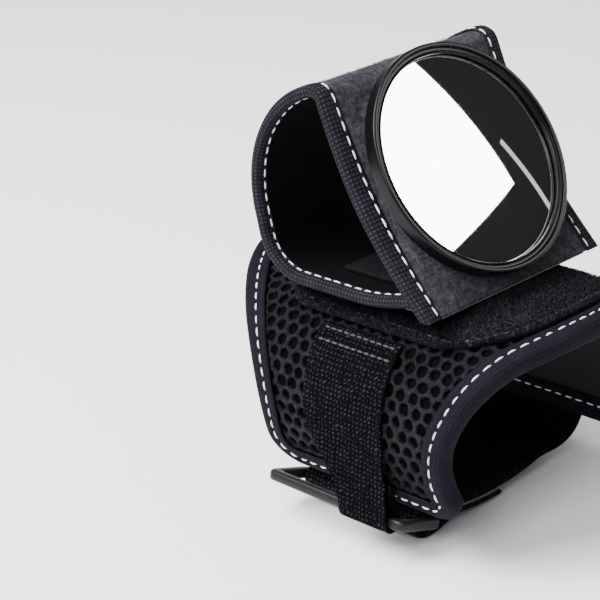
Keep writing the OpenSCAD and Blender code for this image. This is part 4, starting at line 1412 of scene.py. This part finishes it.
lip = MIRROR_RADIUS - 0.3
lip_bottom = GLASS_TOP + 0.2 + TOUCH
lip_top = lip_bottom + 0.6
rim_outline = (
    [(WALL_RADIUS + TOUCH, lip_bottom), (WALL_RADIUS + TOUCH, HOUSING_STEP + TOUCH)]
    + arc((RIM_RADIUS - 0.15, HOUSING_STEP + TOUCH + 0.15), 0.15, -90, 0, 4)
    + [(RIM_RADIUS, 2.6), (RIM_RADIUS, 3.6)]
    + arc((RIM_RADIUS - 0.55, RIM_HEIGHT - 0.55), 0.55, 0, 90, 9)
    + arc((WALL_RADIUS + 0.42, RIM_HEIGHT - 0.3), 0.3, 90, 180, 6)
    + [(WALL_RADIUS + 0.1, lip_top + 0.22)]
    + arc((WALL_RADIUS - 0.12, lip_top + 0.16), 0.22, 0, -90, 4)
    + arc((WALL_RADIUS - 0.55, lip_top + 0.12), 0.18, -90, -180, 4)
    + arc((WALL_RADIUS - 0.93, lip_top + 0.1), 0.2, 0, 90, 4)
    + arc((lip + 0.22, lip_top - 0.12), 0.22, 90, 180, 5)
    + [(lip + 0.02, lip_bottom)])
rim = crease(lathe("mirror_rim_ring", rim_outline, RIM_PLASTIC, on_panel, turns=160), 50)

foot_radius = RIM_RADIUS - 0.9
FOOT_LIFT = EDGING + TOUCH + 0.25         # the cup's edge clears the strap's edging
boss_radius = LOOP_HALF - EDGING_FRONT - 0.4
housing_outline = (
    [(0, TOUCH), (boss_radius, TOUCH), (boss_radius, FOOT_LIFT), (foot_radius - 0.2, FOOT_LIFT)]
    + arc((foot_radius - 0.2, FOOT_LIFT + 0.2), 0.2, -60, 0, 3)
    + arc((foot_radius - 0.15, HOUSING_STEP - 0.15), 0.15, 0, 90, 4)
    + [(WALL_RADIUS, HOUSING_STEP), (WALL_RADIUS, GLASS_TOP + 0.2),
       (MIRROR_RADIUS + 0.2, GLASS_TOP + 0.2), (MIRROR_RADIUS + 0.2, FLOOR), (0, FLOOR)])
housing = crease(lathe("mirror_housing_cup", housing_outline, HOUSING_PLASTIC, on_panel), 40)

ball = (MIRROR_RADIUS ** 2 + MIRROR_RISE ** 2) / (2 * MIRROR_RISE)


def glass_height(radius):
    return GLASS_TOP - TOUCH + MIRROR_RISE - ball + math.sqrt(ball * ball - radius * radius)


glass_outline = ([(0, GLASS_BOTTOM), (MIRROR_RADIUS - 0.1, GLASS_BOTTOM),
                  (MIRROR_RADIUS, GLASS_BOTTOM + 0.1), (MIRROR_RADIUS, glass_height(MIRROR_RADIUS))]
                 + [(MIRROR_RADIUS * k / 28, glass_height(MIRROR_RADIUS * k / 28))
                    for k in range(27, -1, -1)])
glass = crease(lathe("convex_mirror", glass_outline, SILVER, on_panel, turns=160), 40)

# ---- CAD pieces that stay ----
for node, paint in (("backing_plate", PLATE_PLASTIC), ("backing_screws", STEEL),
                    ("mirror_adhesive", FOAM)):
    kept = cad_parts[node]
    for place in kept.material_slots:
        place.material = paint

# ---- bodies and stand-ins ----
stand_ins = {
    "guard_mesh": knit, "guard_lining": wrist_lining, "guard_binding": edge_tape,
    "loop_pad": loop_pad, "anchor_tape": anchor_tape, "ring": closure_ring,
    "closure_strap": closure_strap, "closure_tail": closure_tail,
    "closure_hook_patch": hook_patch, "sole_hook_patch": sole, "strap_felt": felt,
    "strap_lining": loop_lining, "strap_binding_near": edgings[0],
    "strap_binding_far": edgings[1], "strap_hook_tab": tab, "mirror_housing": housing,
    "mirror_rim": rim, "mirror_glass": glass}
for node, piece in stand_ins.items():
    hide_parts(node)

for piece in (knit, core, wrist_lining, edge_tape, edge_stitches, lining_stitches, loop_pad,
              pad_loops, pad_stitches, anchor_tape, closure_strap, closure_seam, *tape_seams):
    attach(piece, "band")
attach(closure_ring, "ring")
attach(sole, "sole")
for piece in (hook_patch, tail_seam):
    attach(piece, "tail")
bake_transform(closure_tail)
for piece in (felt, felt_hairs, loop_lining, *edgings, *edging_stitches, tab, housing, rim,
              glass):
    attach(piece, "mirror_strap")

# ---- camera ----
AZIMUTH, ELEVATION, ROLL = 47.04, 22.3, -4.05
DISTANCE, RIGHT_BY, UP_BY = 478.0, -33.52, 17.63
LENS = 129.2
back = np.array([sind(AZIMUTH) * cosd(ELEVATION), -cosd(AZIMUTH) * cosd(ELEVATION),
                 sind(ELEVATION)])
right = np.array([cosd(AZIMUTH), sind(AZIMUTH), 0])
up = np.cross(back, right)
right, up = (cosd(ROLL) * right + sind(ROLL) * up, -sind(ROLL) * right + cosd(ROLL) * up)
eye = (RIGHT_BY * right + UP_BY * up + DISTANCE * back) * MM
data = bpy.data.cameras.new("camera")
data.lens = LENS
data.sensor_width = 36
data.clip_start = 0.02
data.clip_end = 20
camera = bpy.data.objects.new("camera", data)
bpy.context.scene.collection.objects.link(camera)
camera.matrix_world = Matrix.Translation(Vector(eye)) @ Matrix(
    np.column_stack([right, up, back]).tolist()).to_4x4()
bpy.context.scene.camera = camera

# ---- floor, world and lights ----
CORNERS = ((-1, -1), (1, -1), (1, 1), (-1, 1))


def stage_sheet(name, corners, material):
    """A flat sheet of the set, from four corners in metres."""
    mesh = bpy.data.meshes.new(name)
    mesh.from_pydata(corners, [], [(0, 1, 2, 3)])
    mesh.materials.append(material)
    obj = bpy.data.objects.new(name, mesh)
    bpy.context.scene.collection.objects.link(obj)
    return obj


FLOOR_REACH = 6
floor_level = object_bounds()[0][2] - 0.0005
stage_sheet("floor", [(FLOOR_REACH * i, FLOOR_REACH * j, floor_level) for i, j in CORNERS],
            Paint("pale_floor", (0.88, 0.88, 0.88), 0.85).material)

world = bpy.data.worlds.new("studio")
world.use_nodes = True
world.node_tree.nodes["Background"].inputs["Color"].default_value = (0.86, 0.88, 0.92, 1)
world.node_tree.nodes["Background"].inputs["Strength"].default_value = 0.45
bpy.context.scene.world = world


def direction(turn, rise):
    return np.array([cosd(turn) * cosd(rise), sind(turn) * cosd(rise), sind(rise)])


def area_light(name, turn, rise, distance, width, height, power, aim=(0, 0, 30)):
    """A soft box that looks at a point on the object from a direction, in degrees and mm."""
    aim = np.array(aim, float)
    at = aim + distance * direction(turn, rise)
    light = bpy.data.lights.new(name, "AREA")
    light.shape = "RECTANGLE"
    light.size = width * MM
    light.size_y = height * MM
    light.energy = power
    obj = bpy.data.objects.new(name, light)
    bpy.context.scene.collection.objects.link(obj)
    obj.location = Vector(at) * MM
    obj.rotation_euler = Vector(at - aim).to_track_quat("Z", "Y").to_euler()
    return obj


area_light("key", -122, 50, 900, 560, 460, 20)
area_light("fill", -70, 36, 1000, 520, 460, 11)
area_light("top", -150, 72, 900, 500, 420, 9)
window = area_light("window", 36, 35, 900, 600, 540, 12.5, aim=mirror_middle)
window.visible_diffuse = False
area_light("strip", 59, 16, 900, 16, 200, 0.009, aim=mirror_middle)

# A dark cloth behind the window light, which only gloss sees, keeps the mirror's other part dark
FLAG_TURN, FLAG_RISE = 52, 24
FLAG_DISTANCE, FLAG_HALF_WIDTH, FLAG_HALF_HEIGHT = 1.7, 1.3, 0.95        # in metres
flag_out = direction(FLAG_TURN, FLAG_RISE)
flag_across = np.array([-sind(FLAG_TURN), cosd(FLAG_TURN), 0])
flag_up = np.cross(flag_out, flag_across)
flag = stage_sheet(
    "flag", [(FLAG_DISTANCE * flag_out + FLAG_HALF_WIDTH * i * flag_across
              + FLAG_HALF_HEIGHT * j * flag_up).tolist() for i, j in CORNERS],
    Paint("flag_cloth", (0.01, 0.01, 0.011), 1.0).material)
flag.visible_camera = flag.visible_diffuse = flag.visible_shadow = False
